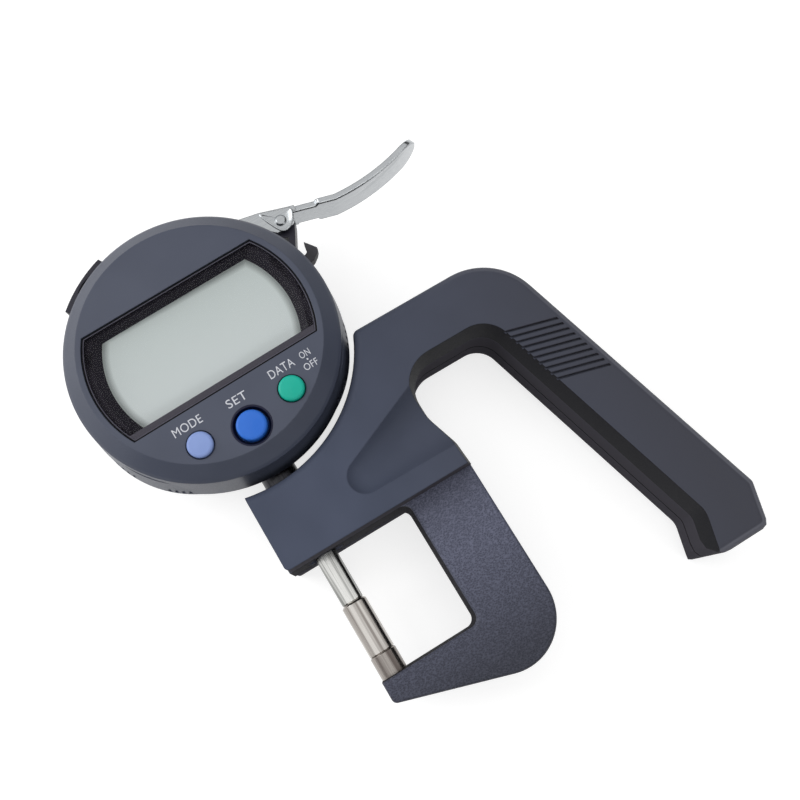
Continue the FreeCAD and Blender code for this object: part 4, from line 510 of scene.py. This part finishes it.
# a smooth closed line through the given corners: their Fourier series, cut after a few terms
def smoothLoop(corners, steps, terms):
    corners = np.asarray(corners, dtype=float)
    ahead = np.roll(corners, -1, axis=0)
    along = np.concatenate(([0], np.cumsum(np.linalg.norm(ahead - corners, axis=1))))
    spots = np.linspace(0, along[-1], 512, endpoint=False)
    closed = np.vstack((corners, corners[:1]))
    line = np.interp(spots, along, closed[:, 0]) + 1j * np.interp(spots, along, closed[:, 1])
    parts = np.fft.fft(line)
    turns = np.fft.fftfreq(512, 1 / 512)
    line = np.fft.ifft(np.where(np.abs(turns) <= terms, parts, 0))[:: 512 // steps]
    return np.column_stack((line.real, line.imag))


# return spring: round wire on a helix about the spindle, with a flat coil at each end
spring = {"turns": 8.0, "flat": 0.9, "wire": 0.5, "lift": 12.0, "steps": 360, "around": 10}
springLow, springHigh = (np.array(corner) * 1000 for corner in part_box("return_spring"))


def coilRings(look, low, high):
    share = np.linspace(0, 1, look["steps"])
    turn = 2 * np.pi * look["turns"] * share
    reach = (high[0] - low[0]) / 2 - look["wire"] / 2
    edge = look["flat"] / look["turns"]
    rise = np.clip((share - edge) / (1 - 2 * edge), 0, 1) * (high[1] - low[1] - look["wire"])
    middleX, middleZ = (low[0] + high[0]) / 2, (low[2] + high[2]) / 2
    line = np.column_stack((middleX + reach * np.cos(turn), low[1] + look["wire"] / 2 + rise,
                            middleZ + reach * np.sin(turn)))
    along = np.gradient(line, axis=0)
    along /= np.linalg.norm(along, axis=1)[:, None]
    out = np.column_stack((np.cos(turn), np.zeros(len(turn)), np.sin(turn)))
    beside = np.cross(along, out)
    angle = np.linspace(0, 2 * np.pi, look["around"], endpoint=False)[None, :, None]
    return line[:, None] + look["wire"] / 2 * (np.cos(angle) * out[:, None] + np.sin(angle) * beside[:, None])


coil = ringSkin("spring_coil", coilRings(spring, springLow, springHigh), finishes["springSteel"], "body")
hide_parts("return_spring")
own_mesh(coil)
print("stage: spring")


# raised cheek on the lever's front ear: a D outline stepped inwards and up by the pairs of `profile`, so that
# a rolled rim stands above the flat
ear = {
    "corners": [(24.8, 23.9), (28.2, 22.8), (31.9, 21.7), (31.7, 20.3), (30.8, 18.7), (29.5, 17.6),
                (28.3, 17.3), (27.3, 17.7), (26.5, 19.0), (25.5, 21.3)],
    "profile": [(0.0, -0.25), (-0.06, 0.0), (-0.03, 0.1), (0.05, 0.18), (0.17, 0.22), (0.29, 0.2),
                (0.38, 0.14), (0.44, 0.1)],
    "level": 15.3,
}


def steppedRings(corners, profile, level, steps=128, terms=5):
    line = smoothLoop(corners, steps, terms)
    run = np.roll(line, -1, axis=0) - np.roll(line, 1, axis=0)
    run /= np.linalg.norm(run, axis=1)[:, None]
    inwards = np.column_stack((-run[:, 1], run[:, 0]))
    if ((line.mean(axis=0) - line) * inwards).sum() < 0:
        inwards = -inwards
    return [np.column_stack((line + inwards * step, np.full(steps, level + rise))) for step, rise in profile]


ringSkin("ear_rim", steppedRings(ear["corners"], ear["profile"], ear["level"]), finishes["nickel"], "lever")
print("stage: lever blade and ear")


# outline of the window stepped inwards: two arcs about the dial's centre joined by straight lines
window = {
    "turn": 1.8, "radius": 23.8, "high": 13.4, "low": -11.0, "steps": 60,
    "gap": [(0.08, -0.3), (0.08, 0.02), (0.3, 0.03), (0.34, -0.02)],
    "line": [(0.34, -0.02), (0.4, 0.03), (0.52, 0.03), (0.56, -0.02)],
    "strip": (0.33, 1.72), "stripRise": 0.012,
}


def windowOutline(step):
    radius, high, low = window["radius"] - step, window["high"] - step, window["low"] + step
    top, bottom = np.arcsin(high / radius), np.arcsin(low / radius)
    right = np.linspace(bottom, top, window["steps"])
    left = np.linspace(np.pi - top, np.pi - bottom, window["steps"])
    share = np.linspace(0, 1, window["steps"])[1:-1]
    x = radius * np.cos(right[-1]) * (1 - 2 * share)
    foot = radius * np.cos(bottom) * (2 * share - 1)
    line = np.vstack((np.column_stack((np.cos(right), np.sin(right))) * radius,
                      np.column_stack((x, np.full(len(x), high))),
                      np.column_stack((np.cos(left), np.sin(left))) * radius,
                      np.column_stack((foot, np.full(len(foot), low)))))
    angle = np.radians(window["turn"])
    return line @ np.array(((np.cos(angle), np.sin(angle)), (-np.sin(angle), np.cos(angle))))


def windowRing(name, profile, finish):
    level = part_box("window_lens")[1][2] * 1000
    rings = []
    for step, rise in profile:
        line = windowOutline(step)
        rings.append(np.column_stack((line, np.full(len(line), level + rise))))
    return ringSkin(name, rings, finish, "display", loop=True)


# black ring in the gap round the lens: a painted shadow where the gap is in shade
windowRing("lens_gap", window["gap"], screenInk("paintedGapShadow", "#060608", "#0a0a0d"))
# paler thin line on the lens's edge: a painted highlight
windowRing("lens_edge", window["line"], screenInk("paintedEdgeHighlight", "#4b4a55", "#53525d"))

# border printed along the pane's lower side: its two long sides are cut off by the window's own arcs
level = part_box("window_lens")[1][2] * 1000 + window["stripRise"]
share = np.linspace(-1, 1, 81)
bands = []
for step in np.linspace(*window["strip"], 5):
    y = window["low"] + step
    x = share * np.sqrt((window["radius"] - window["strip"][0]) ** 2 - y * y)
    angle = np.radians(window["turn"])
    bands.append(np.column_stack((x * np.cos(angle) - y * np.sin(angle),
                                  x * np.sin(angle) + y * np.cos(angle), np.full(len(x), level))))
strip = np.stack(bands, axis=1)
strip = np.concatenate((strip, strip[:, ::-1] - (0, 0, 0.01)), axis=1)
ringSkin("pane_border", strip, screenInk("borderInk", "#3c3a42", "#434149"), "display")


# finger dish round the middle key, painted dark as painted shade in the recess: a cone from the key's hole up
# to the face, about the key's own axis
dish = {"inner": 3.37, "outer": 4.2, "deep": 0.69, "proud": 0.02, "lip": 0.06, "skin": 0.04, "steps": 96}
finishes["paintedDishShade"] = mouldedAbs("paintedDishShade", "#15172b", "#191b31", 0.3, 0.01, 0.4, 0.2)
keyLow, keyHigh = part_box("set_key")
keyMiddle = [(keyLow[0] + keyHigh[0]) * 500, (keyLow[1] + keyHigh[1]) * 500]
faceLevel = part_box("bezel")[1][2] * 1000
angle = np.linspace(0, 2 * np.pi, dish["steps"], endpoint=False)
profile = [(dish["inner"], -dish["deep"]), (dish["outer"] - dish["lip"], dish["proud"]),
           (dish["outer"], dish["proud"]), (dish["outer"], -dish["proud"]),
           (dish["inner"], -dish["deep"] - dish["skin"])]
rings = [np.column_stack((keyMiddle[0] + radius * np.cos(angle), keyMiddle[1] + radius * np.sin(angle),
                          np.full(dish["steps"], faceLevel + rise))) for radius, rise in profile]
ringSkin("key_dish", rings, finishes["paintedDishShade"], "display", loop=True)

# dot of ink between the two switch words
x, y, radius = printed["dot"]
angle = np.linspace(0, 2 * np.pi, printed["dotSteps"], endpoint=False)
dot = np.array([np.column_stack((x + reach * np.cos(angle), y + reach * np.sin(angle),
                                 np.full(len(angle), faceLevel + rise))) for reach, rise in
                ((radius, 0.01), (radius, 0.07), (radius * 0.5, 0.07))])
spin = np.radians(printed["turn"])
dot[..., :2] = dot[..., :2] @ np.array(((np.cos(spin), np.sin(spin)), (-np.sin(spin), np.cos(spin))))
ringSkin("ink_dot", dot, inkFinish, "display")
print("stage: window edge, key dish and dot")


# camera at the fitted place, looking down on the gauge from below its jaw
viewpoint = {
    "placeMm": (5.0, -67.9, 216.0), "lens": 43.65, "sensor": 36.0,
    "right": (0.8556, -0.5176, 0.005), "up": (0.5033, 0.8341, 0.2257), "back": (-0.121, -0.1906, 0.9742),
}
cameraData = bpy.data.cameras.new("camera")
cameraData.lens = viewpoint["lens"]
cameraData.sensor_width = viewpoint["sensor"]
cameraData.clip_start = 0.005
camera = bpy.data.objects.new("camera", cameraData)
turned = Matrix((viewpoint["right"], viewpoint["up"], viewpoint["back"])).transposed().to_4x4()
camera.matrix_world = Matrix.Translation([v / 1000 for v in viewpoint["placeMm"]]) @ turned
bpy.context.scene.collection.objects.link(camera)
bpy.context.scene.camera = camera


# 1 for what is seen directly, in metal or through glass, and 0 for the light that falls on things
def whiteToSight(tree):
    rays = addNode(tree, "ShaderNodeLightPath").outputs
    seen = joined(tree, "MAXIMUM", rays["Is Camera Ray"], rays["Is Glossy Ray"])
    return joined(tree, "MAXIMUM", seen, rays["Is Transmission Ray"])


# floor: a pale sheet that looks white and keeps a soft shadow
ground = {"reach": 1.5, "drop": 0.0002, "colour": "#b4b4b4", "glow": 0.72}
floorMesh = bpy.data.meshes.new("floor")
corners = np.array([(-1, -1), (1, -1), (1, 1), (-1, 1)]) * ground["reach"]
floorMesh.from_pydata([(x, y, -ground["drop"]) for x, y in corners], [], [(0, 1, 2, 3)])
floor = bpy.data.objects.new("floor", floorMesh)
bpy.context.scene.collection.objects.link(floor)
floorFinish, tree, shader, where, output = startMaterial("paleFloor")
shader.inputs["Base Color"].default_value = hexColour(ground["colour"])
shader.inputs["Roughness"].default_value = 0.9
shader.inputs["Specular IOR Level"].default_value = 0.0
glow = addNode(tree, "ShaderNodeEmission", Color=(1, 1, 1, 1), Strength=ground["glow"])
lit = addNode(tree, "ShaderNodeAddShader", _0=shader.outputs[0], _1=glow.outputs[0])
both = addNode(tree, "ShaderNodeMixShader", _0=whiteToSight(tree), _1=shader.outputs[0], _2=lit.outputs[0])
feed(tree, both.outputs[0], output.inputs[0])
floorMesh.materials.append(floorFinish)

# light: an even room, a large soft box from the head's side, one above and a thin strip that draws a bright
# line on rounded metal. A curved black card round the other sides gives bevels and bright metal something
# dark to mirror
studio = {
    "room": 0.46, "aim": (0.02, -0.03, 0.01),
    "boxes": [((-0.48, 0.42, 0.42), (0.7, 0.5), 3.6, True), ((0.1, 0.1, 0.8), (0.6, 0.6), 1.6, False),
              ((0.12, -0.42, 0.42), (0.7, 0.1), 0.55, True)],
    "card": {"reach": 0.45, "fromAngle": -165.0, "toAngle": 85.0, "tall": 0.15, "steps": 48},
}
card = studio["card"]
swing = np.radians(np.linspace(card["fromAngle"], card["toAngle"], card["steps"]))
rim = np.column_stack((np.cos(swing) * card["reach"], np.sin(swing) * card["reach"]))
cardSpots = np.vstack([np.column_stack((rim, np.full(len(rim), z))) for z in (0.0, card["tall"])])
first = np.arange(len(rim) - 1)
cardFaces = np.column_stack((first, first + 1, first + 1 + len(rim), first + len(rim)))
cardMesh = bpy.data.meshes.new("blackCard")
cardMesh.from_pydata(cardSpots.tolist(), [], cardFaces.tolist())
cardPiece = bpy.data.objects.new("blackCard", cardMesh)
cardFinish, tree, shader, where, output = startMaterial("blackCard")
shader.inputs["Base Color"].default_value = hexColour("#0a0a0a")
shader.inputs["Roughness"].default_value = 0.9
cardMesh.materials.append(cardFinish)
bpy.context.scene.collection.objects.link(cardPiece)
cardPiece.visible_camera = False

world = bpy.data.worlds.new("room")
world.use_nodes = True
bpy.context.scene.world = world
roomTree = world.node_tree
roomTree.nodes.clear()
roomOut = addNode(roomTree, "ShaderNodeOutputWorld")
even = addNode(roomTree, "ShaderNodeBackground", Color=(1, 1, 1, 1), Strength=studio["room"])
white = addNode(roomTree, "ShaderNodeBackground", Color=(1, 1, 1, 1), Strength=1.0)
pick = addNode(roomTree, "ShaderNodeMixShader", _0=whiteToSight(roomTree), _1=even.outputs[0],
               _2=white.outputs[0])
roomTree.links.new(pick.outputs[0], roomOut.inputs[0])
for number, (place, size, power, mirrored) in enumerate(studio["boxes"]):
    lampData = bpy.data.lights.new("softBox%d" % number, "AREA")
    lampData.shape = "RECTANGLE"
    lampData.size, lampData.size_y = size
    lampData.energy = power
    lamp = bpy.data.objects.new("softBox%d" % number, lampData)
    lamp.visible_glossy = mirrored
    back = np.array(place) - np.array(studio["aim"])
    back = back / np.linalg.norm(back)
    side = np.cross((0, 1, 0.001), back)
    side = side / np.linalg.norm(side)
    turned = Matrix((side, np.cross(back, side), back)).transposed().to_4x4()
    lamp.matrix_world = Matrix.Translation(place) @ turned
    bpy.context.scene.collection.objects.link(lamp)
bpy.context.scene.view_settings.view_transform = "Standard"
print("stage: camera, floor and light")
